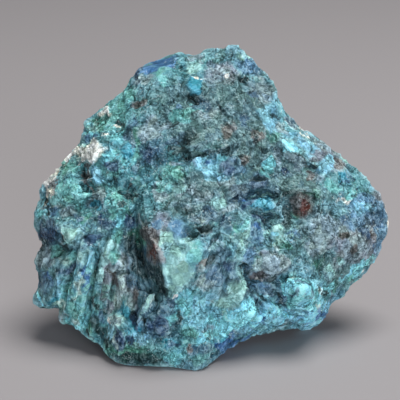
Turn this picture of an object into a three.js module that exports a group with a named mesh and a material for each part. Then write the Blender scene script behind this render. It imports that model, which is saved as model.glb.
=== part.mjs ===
// A rough piece of chrysocolla: one lump of blue-green copper rock with broken faces, ledges, a deep groove,
// a wedge-shaped block and a fibrous slope, standing on a broken flat base.
//
// Millimetres, +Z up. The stone's best side faces -Y, +X is to its right, and the origin is under its middle,
// on the surface that it stands on.
//
// The stone is carved like a low-relief model: every corner, lip and hollow that shapes it is one landmark.
// The landmarks are joined by triangles around the stone's heart, and the triangles are split until they are
// small. Flat breaks shave the back, and broken-rock relief roughens what lies between the landmarks.
import * as THREE from 'three';
import { ConvexHull } from 'three/addons/math/ConvexHull.js';
import { ImprovedNoise } from 'three/addons/math/ImprovedNoise.js';

// Driving dimensions.
const eyeDistance = 650; // from the middle of the stone to the eye that looks at its best side
const eyeTilt = THREE.MathUtils.degToRad(17); // how far that eye looks down
const middleHeight = 53.6; // height above the table of the point that the eye looks at
const longestEdge = 5.3; // the triangles are split until no edge is longer
const heart = new THREE.Vector3(3, 6, 50); // the landmarks are joined around this point, deep in the stone
const pitWidth = 9; // steps and pits narrower than this are smoothed out while the landmarks are joined

// Landmarks of the side that the eye sees: [right, up, near], in the plane through the stone's middle that
// faces the eye. Near is how far the landmark comes forward out of that plane, along its own sight line.

// The outer edge, clockwise from the peak.
const outline = [
  [15.2, 61.8, 4], [19.4, 59.4, 2], [23.4, 54.4, 2], [26.3, 50.6, 0], [29.5, 45.6, 0], [29.8, 41.7, 2],
  [31.8, 39.2, 0], [34.8, 35.6, -2], [35.4, 32.2, 1], [39.5, 29.6, -3], [46.3, 25.3, -3], [52.7, 20.6, -4],
  [59.8, 15.6, -5], [64.5, 10.3, -5], [68.4, 5.1, -6], [71.8, 3.3, -6], [74, -3.6, -6], [76, -8.8, -6],
  [76, -11.8, -6], [74.4, -16.4, -6], [72.7, -21, -7], [69.7, -25.3, -7], [65.3, -30.1, -8],
  [61, -34.8, -8], [57.5, -38.7, -9], [53.6, -41.3, -9], [50.6, -44, -9], [46.7, -50, -10],
  [44.1, -51.8, -10.6], [40.6, -52.6, -10], [39.3, -50.2, -6], [36.3, -50.4, -3], [31.5, -52.2, 0],
  [26.3, -53.5, 3], [20.7, -54.4, 6], [15.2, -56.1, 10], [10.6, -60.4, 17], [7.7, -62.8, 21],
  [4.2, -65.7, 25], [0.6, -67.8, 28.5], [-2.3, -68.4, 29.5], [-6.6, -67.5, 28.5], [-11.2, -66.8, 27],
  [-17.3, -66.6, 27], [-24.4, -66.4, 26.5], [-29.9, -66, 25.5], [-33.3, -65.2, 24.5], [-35.2, -63.6, 23.5],
  [-36.8, -61.4, 21], [-38.7, -59.1, 19], [-41.4, -57.6, 17], [-47.5, -53.3, 13], [-51.3, -50.7, 10],
  [-54.8, -49.9, 8], [-56.7, -48, 7], [-57.4, -45, 5], [-61.3, -44.5, 3], [-65.1, -42.8, 2], [-67, -41.1, 2],
  [-66.2, -36.5, 2], [-64.7, -31.9, 1], [-65.3, -29.2, 1], [-66.2, -24.6, 0], [-65.7, -21.6, 0],
  [-63.6, -19.2, -1], [-63.4, -16.8, -1], [-65.2, -14.2, -1], [-66.6, -10.6, -1], [-66.3, -6.3, -2],
  [-65.2, -3.4, -2], [-65.2, 0.2, -2], [-64.5, 3.7, -3], [-60.2, 8.7, -3], [-55.2, 13.7, -3],
  [-50.9, 19.1, -3], [-48.8, 22.3, -3], [-47.4, 26.6, -3], [-46.8, 29.2, -3], [-44.2, 33, -4],
  [-39.8, 35.8, -4], [-34.8, 40.5, -3], [-31.6, 43.7, -2], [-28.8, 46.6, 0], [-26.6, 50.2, 2],
  [-25.6, 52.6, 0], [-21.6, 54.8, -8], [-16, 56, -10], [-12.6, 58, -10], [-8.7, 58.9, -8], [-3, 57.6, -4],
  [1.3, 59.4, -2], [4.8, 59.4, 0], [9.8, 60.2, 2], [12.4, 61.4, 3],
];

// The crown: the lip in front of the blue top plane, and the craggy face that leans back below it.
const crown = [
  [-19.6, 51.2, 6], [-13.6, 53, 7], [-8.8, 55.8, 5], [6, 55.2, 7], [12.8, 56.4, 8], [18.6, 54.6, 6],
  [-24, 44.8, 9], [-16.8, 46.4, 13], [-9.6, 49, 11], [-3.4, 52.4, 8], [8.4, 50.4, 12], [15.8, 50, 11],
  [22, 48, 8], [-1.2, 49.2, 12], [0.8, 46.8, 13.5], [-4, 43, 15], [-7, 46.4, 13], [24.6, 43.8, 8],
  [-3.2, 40.6, 12.5], [-6, 38, 17], [1.4, 40.4, 17], [16.6, 47, 9.5], [14.6, 43.4, 13],
  [-32, 38.4, 6], [-26, 39.2, 12], [-20, 38, 16], [-12.8, 36, 19], [0, 35.2, 20], [5.4, 38.6, 18.5],
  [8.4, 36.4, 16], [11.2, 34.2, 20], [16, 39, 16], [22, 38, 13], [26.4, 39.6, 7.5],
  [-38.4, 32, 4], [-33.6, 30.4, 9], [-28, 30.8, 14], [-20, 29, 20], [-11.4, 31, 17], [-8, 27.6, 23],
  [0, 26.6, 25], [6.6, 28.4, 24], [14, 29, 23], [20, 30.6, 18], [25, 32.6, 13.5], [30.4, 35, 7],
  [32.6, 31, 7.5], [-28, 22.4, 17], [-20.8, 21.4, 22], [-14, 23.6, 24.5], [-2.4, 21.8, 29], [5.6, 21, 30],
  [11.4, 22.2, 28.5], [17.4, 23, 24], [23.4, 25.2, 19], [29.2, 27, 14],
];

// The bright band along the right shoulder, a step above the face on its left.
const shoulderBand = [
  [32.4, 23.8, 16], [36, 19.8, 17], [40, 17, 17], [44.8, 14.6, 15], [50.4, 11.4, 12], [31.2, 20.6, 12],
  [35, 16.8, 13], [39.8, 13.4, 13], [45.4, 11, 11.5], [39.6, 24.4, 10], [47.2, 19.4, 7.5], [54, 14.4, 5],
  [60, 9, 3],
];

// The crevice under the brow, and the blue block below it.
const browCrevice = [
  [-13.2, 18.8, 26], [-7, 19.2, 28], [-6.2, 16.8, 25.5], [-1.2, 18, 25], [4, 18.2, 25.5], [8.8, 18.6, 25],
  [13.6, 19, 25], [-0.8, 16, 29], [7.2, 16.4, 29.5], [12.8, 15.4, 27.5], [18.4, 15.6, 23],
  [0, 11.4, 31], [6.4, 10.4, 31], [10, 13, 27.5], [14.4, 10.2, 27.5], [19.2, 12.8, 22.5],
  [24, 18, 18.5], [28, 14.4, 17.5], [23.2, 11.4, 21], [28.8, 9, 21], [34, 11.2, 17], [39.2, 8.8, 17],
  [46, 7, 14], [52, 5.6, 11], [58, 3.4, 8], [64, 2, 3],
];

// The slanting recess under an overhanging lip, with its pale shelf.
const recess = [
  [16, 6.4, 28.5], [22.4, 6.2, 28], [28.8, 5, 26.5], [12.6, 0.4, 24.5], [18, 3, 22], [24, 3.4, 20.5],
  [29.4, 2.2, 20.5], [14.2, -2.6, 28], [19.8, -0.8, 26], [25, -1.8, 25.5], [30.2, -2, 25], [26, -6, 21],
  [21, -5, 24.5],
];

// The square cavity stained with iron, its rim first and then its floor.
const ironCavity = [
  [33.4, 3.2, 24.5], [40, 4.2, 22.5], [46.8, 3.4, 19.5], [48.4, -3, 19], [47.6, -8.2, 20], [41.2, -9.8, 22],
  [34, -9.2, 24], [32.2, -3.4, 24], [36, 0.2, 18.5], [43.6, 0.4, 16.5], [44.6, -4.4, 16.5], [41, -2.6, 18],
  [36.4, -5.6, 18.5],
];

// The broad smooth face on the right.
const rightFace = [
  [54, -2, 13], [60.8, -3.2, 8], [67.2, -2.2, 2], [71.2, -5.6, -1], [56, -10, 15], [63.2, -11.2, 10],
  [69.6, -12.8, 3], [50, -15.2, 19], [58, -18, 14], [64.8, -19.2, 7], [42, -16.8, 22.5], [44.8, -23, 20],
  [52.8, -24.8, 15], [59.2, -27.2, 8], [40.4, -24.6, 21], [50, -32, 11], [56, -33.6, 4], [51.2, -38.2, 1],
];

// Small knobs left of that face, and the pale rib that comes down from the recess.
const knobs = [
  [30, -11.2, 28], [26.2, -9.6, 22.5], [33.8, -14.4, 24], [28.8, -16, 23.5], [20.2, -7.4, 30],
  [18.4, -12.8, 32.5], [16.8, -18.8, 33.5], [16.4, -24.8, 32.5], [22.6, -12.8, 27.5], [22.6, -18.4, 28],
  [28, -20.4, 26], [35.4, -19.6, 25],
];

// The grey lump with a dark undercut, and the ledge under it.
const undercut = [
  [24.8, -22.6, 29], [32, -22.8, 27.5], [28.8, -26.6, 28.5], [35.2, -27.2, 24], [20.6, -28, 25],
  [24.8, -30.8, 23.5], [30.4, -31.2, 23], [35, -31.4, 21], [20, -33.6, 27], [25.6, -34.8, 26.5],
];

// The turquoise boss, the dark joint on its left, and the foot below it.
const boss = [
  [36.8, -31.4, 24], [43.2, -30.4, 21], [47.4, -33, 17], [33.6, -36, 25], [40, -36, 26.5], [45.8, -37.6, 20],
  [48.2, -41.6, 10], [38.4, -41.4, 21], [43.4, -42.6, 16], [34.2, -40, 20.5], [30.8, -40.6, 18.5],
  [38.6, -46.2, 9], [44.6, -45.4, 6], [49, -44.6, -2], [42.4, -49.6, -3],
];

// Bright lumps along the lower edge.
const skirt = [
  [16, -42.4, 29], [20, -44.8, 26], [17.6, -49.8, 19], [22.6, -43.2, 21], [27.2, -41.6, 24.5],
  [30.4, -44.8, 20], [24.8, -48.2, 18], [29.6, -49.6, 11], [33.6, -45.6, 12.5], [12.6, -47.2, 27],
  [11.2, -53, 22], [6, -58, 25], [23, -51.4, 11],
];

// The striated slope and the lower front.
const lowerFront = [
  [-6, -40, 35], [0, -36.8, 35], [7.2, -36, 34], [12.8, -33.6, 32], [12, -40, 31], [4.8, -42.4, 32],
  [-1.6, -44.8, 33], [-7.4, -46.4, 33], [2, -48.8, 31], [7.2, -50.4, 28], [-4, -52.8, 32], [2, -55.4, 30],
  [-8.6, -57.4, 31.5], [-2, -60.4, 31.5], [4, -60.8, 28.5], [-6, -63.4, 31], [0, -64.8, 30.5],
  [-14, -60.4, 32.5], [-20, -59.4, 33], [-26, -60.2, 31], [-31.8, -60.4, 28.5], [-14, -63.8, 29.5],
  [-22, -63.6, 29.5],
];

// The round azurite nodule.
const nodule = [
  [-16, -51.4, 35], [-20.6, -47.4, 31], [-16, -46.4, 31.5], [-11.4, -48.4, 32], [-11, -54.8, 31.5],
  [-15.6, -56.6, 32], [-20.8, -54.6, 31.5],
];

// The wedge-shaped block: blue top facet, brown flank, smooth green front and the crack along its top.
const wedge = [
  [-21.8, -5.2, 31.5], [-16.8, -4.8, 34], [-11.2, -6.2, 35], [-6, -9.8, 36], [-19.2, -12, 35.5],
  [-21.4, -14.4, 31], [-20.2, -19.2, 30], [-16, -13.6, 39], [-15.2, -22.8, 40], [-14, -30, 39.5],
  [-12.8, -36.4, 37], [-10, -16, 40], [-4.8, -16.4, 39], [2.4, -20, 38], [0.4, -25.6, 38],
  [-3.2, -30.8, 37.5], [-8, -36, 37], [-7.2, -24, 40.5], [4.8, -22.6, 33.5], [1.8, -29.8, 33.5],
  [8.8, -20, 34.5], [8.8, -27.4, 33.5], [12.8, -25, 33.5], [-4, -14.4, 32.5], [2.4, -11.8, 31], [7.2, -8.8, 29.5],
  [-2, -11.6, 36], [4, -8.2, 35.5], [10, -5.6, 33], [2.2, -14.6, 36.5], [8.8, -12.4, 36], [14.4, -10.4, 32.5],
];

// The band between the brow and the wedge, with its small cave.
const middleBand = [
  [-7.2, -5, 29.5], [-11.6, -1.4, 33], [-5.4, -1.4, 33.5], [-2.2, -5.2, 34.5], [-20, 14, 24.5],
  [-12.8, 14, 28], [-6.4, 13.4, 30], [-20, 7.2, 26.5], [-13.6, 8, 30], [-6.4, 7.2, 32], [0.8, 5.6, 32.5],
  [8, 4.8, 30.5], [-22.4, 0.8, 27.5], [-16, 0.8, 31], [2, -1, 33.5], [8.8, -1.8, 31.5],
];

// The deep groove on the left of the wedge, its left bank, and the thin fin at its foot.
const groove = [
  [-25.2, -2, 23], [-25.4, -8.8, 19], [-24.6, -16, 15.5], [-23, -23.2, 14], [-21, -30, 15.5],
  [-19.4, -36, 19], [-17, -41.4, 27], [-29.6, -6, 24], [-28.8, -14, 23], [-28.8, -22, 23],
  [-27.4, -28.8, 23.5], [-25.6, -36, 24], [-19.8, -37.6, 29], [-21.8, -42.4, 31], [-23.6, -48.4, 31],
  [-26.8, -42, 24.5], [-26.8, -48.8, 25], [-25.4, -54.4, 28.5],
];

// The fibrous slope: ribs that run down to the left, each as its crest, with the furrow on its right.
const ribs = [
  [-32.4, -24.8, 27], [-31.4, -32, 28.5], [-30.6, -39.2, 29.5], [-31.6, -46, 28.5], [-30.4, -52.4, 30],
  [-32.4, -57.6, 28.5], [-34.8, -28.8, 20.5], [-36, -36, 19.5], [-37.2, -44, 18.5], [-38, -51.2, 18.5],
  [-37.8, -56.4, 19], [-37.6, -20, 25.5], [-38.2, -27.2, 24.5], [-39.6, -34.4, 23.5], [-40.8, -41.6, 21.5],
  [-42, -48.8, 20], [-43.4, -53.6, 17.5], [-41.2, -24.8, 18], [-43, -32.8, 16.5], [-45, -40.8, 15.5],
  [-46.6, -47.4, 13.5], [-43.2, -18, 24.5], [-45, -24.8, 23.5], [-47.4, -32.8, 21.5], [-50, -40.8, 18],
  [-52.2, -47.4, 13], [-49.6, -23.4, 16.5], [-51.6, -30, 14.5], [-53.8, -37.6, 12.5], [-55.6, -43.6, 9.5],
  [-54.4, -24.8, 18], [-56.8, -32, 16], [-58.8, -39.2, 12],
];

// The lobe at the lower left, and the notch and overhang above it.
const leftLobe = [
  [-60.8, -22.6, 9], [-61.6, -28, 10.5], [-62.4, -35.2, 9.5], [-63.2, -40.4, 6.5], [-60, -18.4, 5.5],
  [-55.2, -20, 11.5], [-50, -19.6, 17], [-62.2, -12.8, 10], [-59.2, -10.4, 13.5], [-57.4, -15.4, 15.5],
  [-63.4, -8, 6],
];

// Lumps of the left side.
const leftLumps = [
  [-51.2, -14.6, 25], [-54.4, -11, 19], [-48, -11.6, 24], [-49.4, -17.2, 22], [-43.2, -12.4, 23.5],
  [-38.4, -15.2, 23.5], [-33.6, -16, 24.5], [-56, -4.8, 14.5], [-50.4, -6, 20], [-44.8, -6.6, 20.5],
  [-40, -8.8, 22.5], [-35.2, -9.6, 25], [-61.4, -2.4, 3.5], [-57, 3, 14], [-52, 8, 17], [-48.8, 1.6, 18.5],
  [-53.4, -1.4, 15.5],
];

// The long slit between the left side and the body, and the white seam above it.
const slit = [
  [-48, 15, 6.5], [-46.6, 10, 7.5], [-45.2, 5, 10], [-44.2, -0.6, 14], [-51.4, 12.6, 10], [-49.6, 7.2, 17],
  [-43.2, 14.2, 15], [-42.2, 8.8, 17.5], [-40.4, 3, 19.5], [-46, 20.8, 9], [-40.8, 22.4, 13.5],
  [-36.6, 24.4, 15], [-41.6, 17.8, 16], [-35.2, 17.4, 17], [-28.8, 15.4, 19.5], [-35.4, 10, 19],
  [-28.8, 8.6, 21.5], [-34, 2.4, 21], [-29, 3, 16.5], [-31.8, -2.4, 24.5], [-38.6, -2.4, 22.5],
  [-42, 28.8, 5.5], [-44.6, 25, 5],
];

// Landmarks of the rest: [x, y, z], from the table up.

// The back: a blunt top, a bulging middle and an oblique shoulder, before the flat breaks shave it.
const back = [
  [15, 27, 109], [4, 34, 105.5], [-8, 39, 101.5], [-18, 37, 98.5], [26, 27, 97], [13, 40, 97], [2, 42, 96],
  [-11, 43, 92], [-25, 33, 90], [-34, 25, 81], [34, 24, 84], [24, 37, 86], [2, 46, 85], [-14, 43, 81],
  [43, 24, 75], [32, 37, 74], [18, 43, 76], [8, 48, 72], [-5, 48, 74], [-18, 46, 70], [-29, 39, 71],
  [-39, 30, 68], [-48, 19, 65], [55, 23, 63], [46, 33, 60], [33, 41, 61], [20, 47, 60], [8, 49, 58],
  [-4, 50, 60], [-16, 48, 56], [-28, 44, 57], [-39, 36, 54], [-48, 28, 51], [-57, 17, 52], [66, 17, 50],
  [58, 28, 45], [47, 37, 44], [35, 43, 46], [24, 47, 44], [12, 49, 45], [0, 48, 44], [-12, 47, 42],
  [-23, 45, 43], [-35, 41, 40], [-45, 33, 36], [-54, 23, 38], [-61, 11, 38], [68, 14, 37], [60, 25, 30],
  [49, 34, 30], [37, 41, 31], [25, 45, 28], [13, 45, 31], [2, 45, 28], [-9, 45, 28], [-21, 43, 29],
  [-32, 37, 25], [-43, 29, 24], [-51, 20, 24], [-58, 8, 26], [60, 12, 22], [53, 20, 18], [43, 28, 17],
  [33, 36, 17], [22, 39, 15], [11, 41, 14], [-2, 40, 15], [-14, 38, 14], [-25, 32, 12], [-36, 24, 13],
  [-45, 14, 15], [-52, 2, 17],
];

// The flat breaks that shave the back: a point that each one goes through, and the way that it faces.
const breaks = [
  { through: [-6, 41, 72], facing: [-0.2, 0.93, 0.3] },
  { through: [24, 38, 58], facing: [0.5, 0.84, 0.2] },
  { through: [4, 43, 40], facing: [0.12, 0.97, -0.2] },
  { through: [-34, 34, 50], facing: [-0.66, 0.74, -0.1] },
  { through: [14, 38, 12], facing: [0.15, 0.88, -0.45] },
  { through: [16, 33, 97], facing: [0.45, 0.6, 0.66] },
  { through: [-48, 20, 30], facing: [-0.6, 0.65, -0.47] },
];
const domeShare = 0.3; // how much of what stood out of a flat break is left, as a low dome

// The underside: a hollow towards the right foot, and the lifted left end.
const underside = [
  [54, 8, 13], [49, 13, 6], [42, 18, 5], [33, 24, 6], [24, 30, 4], [30, 14, 5.5], [26, 2, 5.5],
  [32, -6, 6], [22, -12, 5], [38, 12, 2.5], [16, 33, 4], [-20, 30, 3], [-31, 20, 4.5], [-38, 8, 7],
  [-44, -4, 11], [-48, -14, 14], [-38, -8, 6.5], [-40, -22, 10.5], [-34, -24, 4.5], [-36, -34, 7],
];

// The ground that the stone stands on: a flat break under the body, and the right foot.
const standing = [
  [-24, -39, 0], [-14, -41, 0], [-4, -42, 0], [4, -36, 0], [10, -25, 0], [15, -12, 0], [18, 3, 0],
  [17, 18, 0], [8, 31, 0], [-4, 32, 0], [-15, 28, 0], [-25, 16, 0], [-31, 2, 0], [-31, -14, 0],
  [-30, -28, 0], [41, -3, 0], [44.5, 3, 0], [38.5, 5, 0],
];

// Faces that broke smooth keep less of the relief: [right, up, near, radius].
const smoothFaces = [
  [-16, 54, 0, 9], [-2, 47, 13, 5], [-5, -22, 39, 11], [-11, -10, 37, 8], [36, 20, 16, 7], [3, 13, 30, 7],
  [58, -10, 11, 14], [-30, -34, 28, 7],
];

// Ledges of the back, where the rock came away in layers: it is cut in steps instead of smoothly.
const ledges = {
  spacing: 27, // about how far they are apart
  height: 3.4,
  levels: 2.6, // how many treads lie one behind another
  topLevel: 1.4, // the tread that nothing is cut from
  riserStart: 0.38, // where the step up to the next tread starts and ends, as shares of a tread
  riserEnd: 0.62,
  noiseShift: 3.1,
  from: 11, // they come in over this stretch of depth behind the stone's middle, past its outer edge
  full: 22,
};

// Broken-rock relief: each layer has the distance between its crags and how far they stand out.
const reliefLayers = [
  { spacing: 17, height: 1.5 },
  { spacing: 8, height: 1.1 },
  { spacing: 4.4, height: 0.5 },
];
const meanCrest = 0.55; // the mean of a layer's crests, taken off so that relief neither swells nor shrinks
const layerShift = 7.3; // each layer reads the noise this much further on
const smoothShare = 0.25; // how much relief a smooth face keeps
const smoothCore = 0.6; // a smooth face fades into the rough between these shares of its radius
const smoothRim = 1.2;
const reliefFadeHeight = 4; // relief dies away towards the table, so that the standing face stays flat

const middle = new THREE.Vector3(0, 0, middleHeight);
const towardsEye = new THREE.Vector3(0, -Math.cos(eyeTilt), Math.sin(eyeTilt));
const upInView = new THREE.Vector3(0, Math.sin(eyeTilt), Math.cos(eyeTilt));

// A landmark of the seen side, put on its own sight line.
function seen([right, up, near]) {
  const perspective = 1 - near / eyeDistance;
  const place = middle.clone().addScaledVector(upInView, up * perspective).addScaledVector(towardsEye, near);
  place.x = right * perspective;
  place.z = Math.max(place.z, 0);
  return place;
}

// The seen side without its narrow steps and pits: each landmark takes the mean near of those around it.
function withoutPits(landmarks) {
  return landmarks.map(([right, up]) => {
    let sum = 0;
    let total = 0;
    for (const [otherRight, otherUp, near] of landmarks) {
      const weight = Math.exp(-((right - otherRight) ** 2 + (up - otherUp) ** 2) / pitWidth ** 2);
      sum += weight * near;
      total += weight;
    }
    return [right, up, sum / total];
  });
}

// The triangles that join points around the heart, as lists of three indices: the hull of their directions.
function joinAround(points) {
  const directions = points.map((point) => point.clone().sub(heart).normalize());
  const indexOf = new Map(directions.map((direction, index) => [direction, index]));
  return new ConvexHull().setFromPoints(directions).faces.map((face) => {
    const corners = [face.edge, face.edge.next, face.edge.next.next];
    return corners.map((edge) => indexOf.get(edge.head().point));
  });
}

const noise = new ImprovedNoise();
const tableTolerance = 1e-6;
const onTable = (point) => point.z < tableTolerance;

// Splits the longest edges until none is over the limit. Edges inside the flat standing face stay long.
function splitLongEdges(points, triangles, limit) {
  for (;;) {
    const edges = new Map();
    triangles.forEach((corners, triangle) => {
      corners.forEach((from, i) => {
        const to = corners[(i + 1) % 3];
        const key = from < to ? `${from} ${to}` : `${to} ${from}`;
        if (!edges.has(key)) edges.set(key, { from, to, triangles: [] });
        edges.get(key).triangles.push(triangle);
      });
    });
    const flat = (triangle) => triangles[triangle].every((corner) => onTable(points[corner]));
    const inStandingFace = (edge) => edge.triangles.every(flat);
    const long = [...edges.values()]
      .map((edge) => ({ ...edge, length: points[edge.from].distanceTo(points[edge.to]) }))
      .filter((edge) => edge.length > limit && !inStandingFace(edge))
      .sort((one, other) => other.length - one.length);
    if (long.length === 0) return;
    const done = new Set();
    for (const edge of long) {
      if (edge.triangles.some((triangle) => done.has(triangle))) continue;
      const middle = points.push(points[edge.from].clone().lerp(points[edge.to], 0.5)) - 1;
      for (const triangle of edge.triangles) {
        const corners = triangles[triangle];
        const apex = corners.find((corner) => corner !== edge.from && corner !== edge.to);
        const turn = corners.indexOf(apex);
        const [start, end] = [corners[(turn + 1) % 3], corners[(turn + 2) % 3]];
        triangles[triangle] = [apex, start, middle];
        triangles.push([apex, middle, end]);
        done.add(triangle);
      }
    }
  }
}

// Pulls a point that stands out of a flat break back onto it, straight towards the heart.
function shave(point) {
  for (const { through, facing } of breaks) {
    const normal = new THREE.Vector3(...facing);
    const depth = new THREE.Vector3(...through).sub(heart).dot(normal);
    const reach = point.clone().sub(heart).dot(normal);
    if (reach <= depth) continue;
    const left = depth + domeShare * (reach - depth);
    point.sub(heart).multiplyScalar(left / reach).add(heart);
  }
}

// How far the relief stands out at a point: sharp crests over soft hollows, as broken rock has.
function relief(point) {
  let height = 0;
  reliefLayers.forEach((layer, index) => {
    const at = point.clone().divideScalar(layer.spacing).addScalar(layerShift * (index + 1));
    const crest = 1 - 2 * Math.abs(noise.noise(at.x, at.y, at.z));
    height += layer.height * (crest - meanCrest);
  });
  return height;
}

// How much the ledges of the back cut away at a point: level treads with steep risers between them.
function ledgeCut(point) {
  const at = point.clone().divideScalar(ledges.spacing).addScalar(ledges.noiseShift);
  const level = ledges.levels * noise.noise(at.x, at.y, at.z);
  const tread = Math.floor(level);
  const riser = THREE.MathUtils.smoothstep(level - tread, ledges.riserStart, ledges.riserEnd);
  const behind = middle.clone().sub(point).dot(towardsEye);
  const share = THREE.MathUtils.smoothstep(behind, ledges.from, ledges.full);
  return ledges.height * Math.max(ledges.topLevel - tread - riser, 0) * share;
}

// The share of the relief that a point keeps, between the smooth faces and the craggy rest.
const smoothSpots = smoothFaces.map(([right, up, near, radius]) => {
  return { centre: seen([right, up, near]), radius };
});
function roughShare(point) {
  const shares = smoothSpots.map(({ centre, radius }) => {
    return THREE.MathUtils.smoothstep(centre.distanceTo(point), smoothCore * radius, smoothRim * radius);
  });
  return smoothShare + (1 - smoothShare) * Math.min(...shares);
}

function geometryOf(points, triangles) {
  const geometry = new THREE.BufferGeometry();
  geometry.setAttribute('position', new THREE.Float32BufferAttribute(points.flatMap((p) => p.toArray()), 3));
  geometry.setIndex(triangles.flat());
  geometry.computeVertexNormals();
  return geometry;
}

function stoneGeometry() {
  const inner = [
    crown, shoulderBand, browCrevice, recess, ironCavity, rightFace, knobs, undercut, boss, skirt,
    lowerFront, nodule, wedge, middleBand, groove, ribs, leftLobe, leftLumps, slit,
  ].flat();
  const otherSides = [back, underside, standing].flat().map((place) => new THREE.Vector3(...place));
  const points = [...[...outline, ...inner].map(seen), ...otherSides];
  const triangles = joinAround([...[...outline, ...withoutPits(inner)].map(seen), ...otherSides]);
  splitLongEdges(points, triangles, longestEdge);
  points.forEach(shave);

  const carved = geometryOf(points, triangles);
  const normals = carved.getAttribute('normal');
  const roughened = points.map((point, index) => {
    const fade = THREE.MathUtils.smoothstep(point.z, 0, reliefFadeHeight);
    const outward = new THREE.Vector3().fromBufferAttribute(normals, index);
    const height = relief(point) * roughShare(point) - ledgeCut(point);
    const moved = point.clone().addScaledVector(outward, height * fade);
    moved.z = Math.max(moved.z, 0);
    return moved;
  });

  const geometry = geometryOf(roughened, triangles);
  geometry.computeBoundingBox();
  const { min, max } = geometry.boundingBox;
  geometry.translate(-(min.x + max.x) / 2, -(min.y + max.y) / 2, -min.z);
  return geometry;
}

const stone = new THREE.Mesh(
  stoneGeometry(),
  new THREE.MeshStandardMaterial({ color: 0x4b8f93, roughness: 0.85, metalness: 0, flatShading: true }),
);
stone.name = 'chrysocolla_stone';

const specimen = new THREE.Group();
specimen.add(stone);

export default specimen;
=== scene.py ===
import math
import bmesh
import bpy
import numpy as np
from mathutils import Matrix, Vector, noise


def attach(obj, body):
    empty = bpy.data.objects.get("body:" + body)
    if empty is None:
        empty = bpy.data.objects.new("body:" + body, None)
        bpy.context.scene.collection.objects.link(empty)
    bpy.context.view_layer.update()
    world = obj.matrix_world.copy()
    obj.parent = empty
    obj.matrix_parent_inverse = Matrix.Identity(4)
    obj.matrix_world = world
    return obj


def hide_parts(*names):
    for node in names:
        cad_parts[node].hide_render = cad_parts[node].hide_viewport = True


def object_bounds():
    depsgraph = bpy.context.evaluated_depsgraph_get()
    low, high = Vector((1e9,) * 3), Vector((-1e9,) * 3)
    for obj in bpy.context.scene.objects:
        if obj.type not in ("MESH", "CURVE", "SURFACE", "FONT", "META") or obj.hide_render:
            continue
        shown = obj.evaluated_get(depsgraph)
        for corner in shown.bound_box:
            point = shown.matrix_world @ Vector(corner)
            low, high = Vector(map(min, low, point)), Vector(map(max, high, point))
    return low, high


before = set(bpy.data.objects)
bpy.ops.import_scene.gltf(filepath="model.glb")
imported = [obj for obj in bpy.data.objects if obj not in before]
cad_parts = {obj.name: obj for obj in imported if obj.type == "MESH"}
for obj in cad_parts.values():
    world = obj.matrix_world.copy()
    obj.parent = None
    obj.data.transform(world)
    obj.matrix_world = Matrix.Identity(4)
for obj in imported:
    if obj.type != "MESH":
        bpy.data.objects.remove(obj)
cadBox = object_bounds()
print("frame loaded")

# The eye that looks at the stone's best side. Everything on that side is placed as this eye sees it:
# right and up in millimetres, in the plane through the middle that faces the eye.
eye = {
    "middle": (-4.8, 1.15, 53.6),  # the point that it looks at, millimetres
    "distance": 650,
    "tilt": 17,  # degrees down
    "frameWidth": 160,  # what it takes in at the middle, millimetres
    "sensor": 36,
}
tilt = math.radians(eye["tilt"])
middle = np.array(eye["middle"])
towardsEye = np.array((0, -math.cos(tilt), math.sin(tilt)))
upInView = np.array((0, math.sin(tilt), math.cos(tilt)))
millimetre = 0.001


def smoothStep(low, high, value):
    share = np.clip((value - low) / (high - low), 0, 1)
    return share * share * (3 - 2 * share)


def seenFrom(points):  # right, up and near of points in millimetres
    offset = points - middle
    near = offset @ towardsEye
    perspective = 1 - near / eye["distance"]
    return offset[:, 0] / perspective, (offset @ upInView) / perspective, near


# Camera
cameraData = bpy.data.cameras.new("photographersEye")
cameraData.sensor_width = eye["sensor"]
cameraData.lens = eye["sensor"] * eye["distance"] / eye["frameWidth"]
cameraData.clip_start = 0.01
camera = bpy.data.objects.new("photographersEye", cameraData)
bpy.context.scene.collection.objects.link(camera)
camera.location = Vector((middle + towardsEye * eye["distance"]) * millimetre)
camera.rotation_euler = Vector(-towardsEye).to_track_quat("-Z", "Y").to_euler()
bpy.context.scene.camera = camera
print("camera placed")


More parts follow.
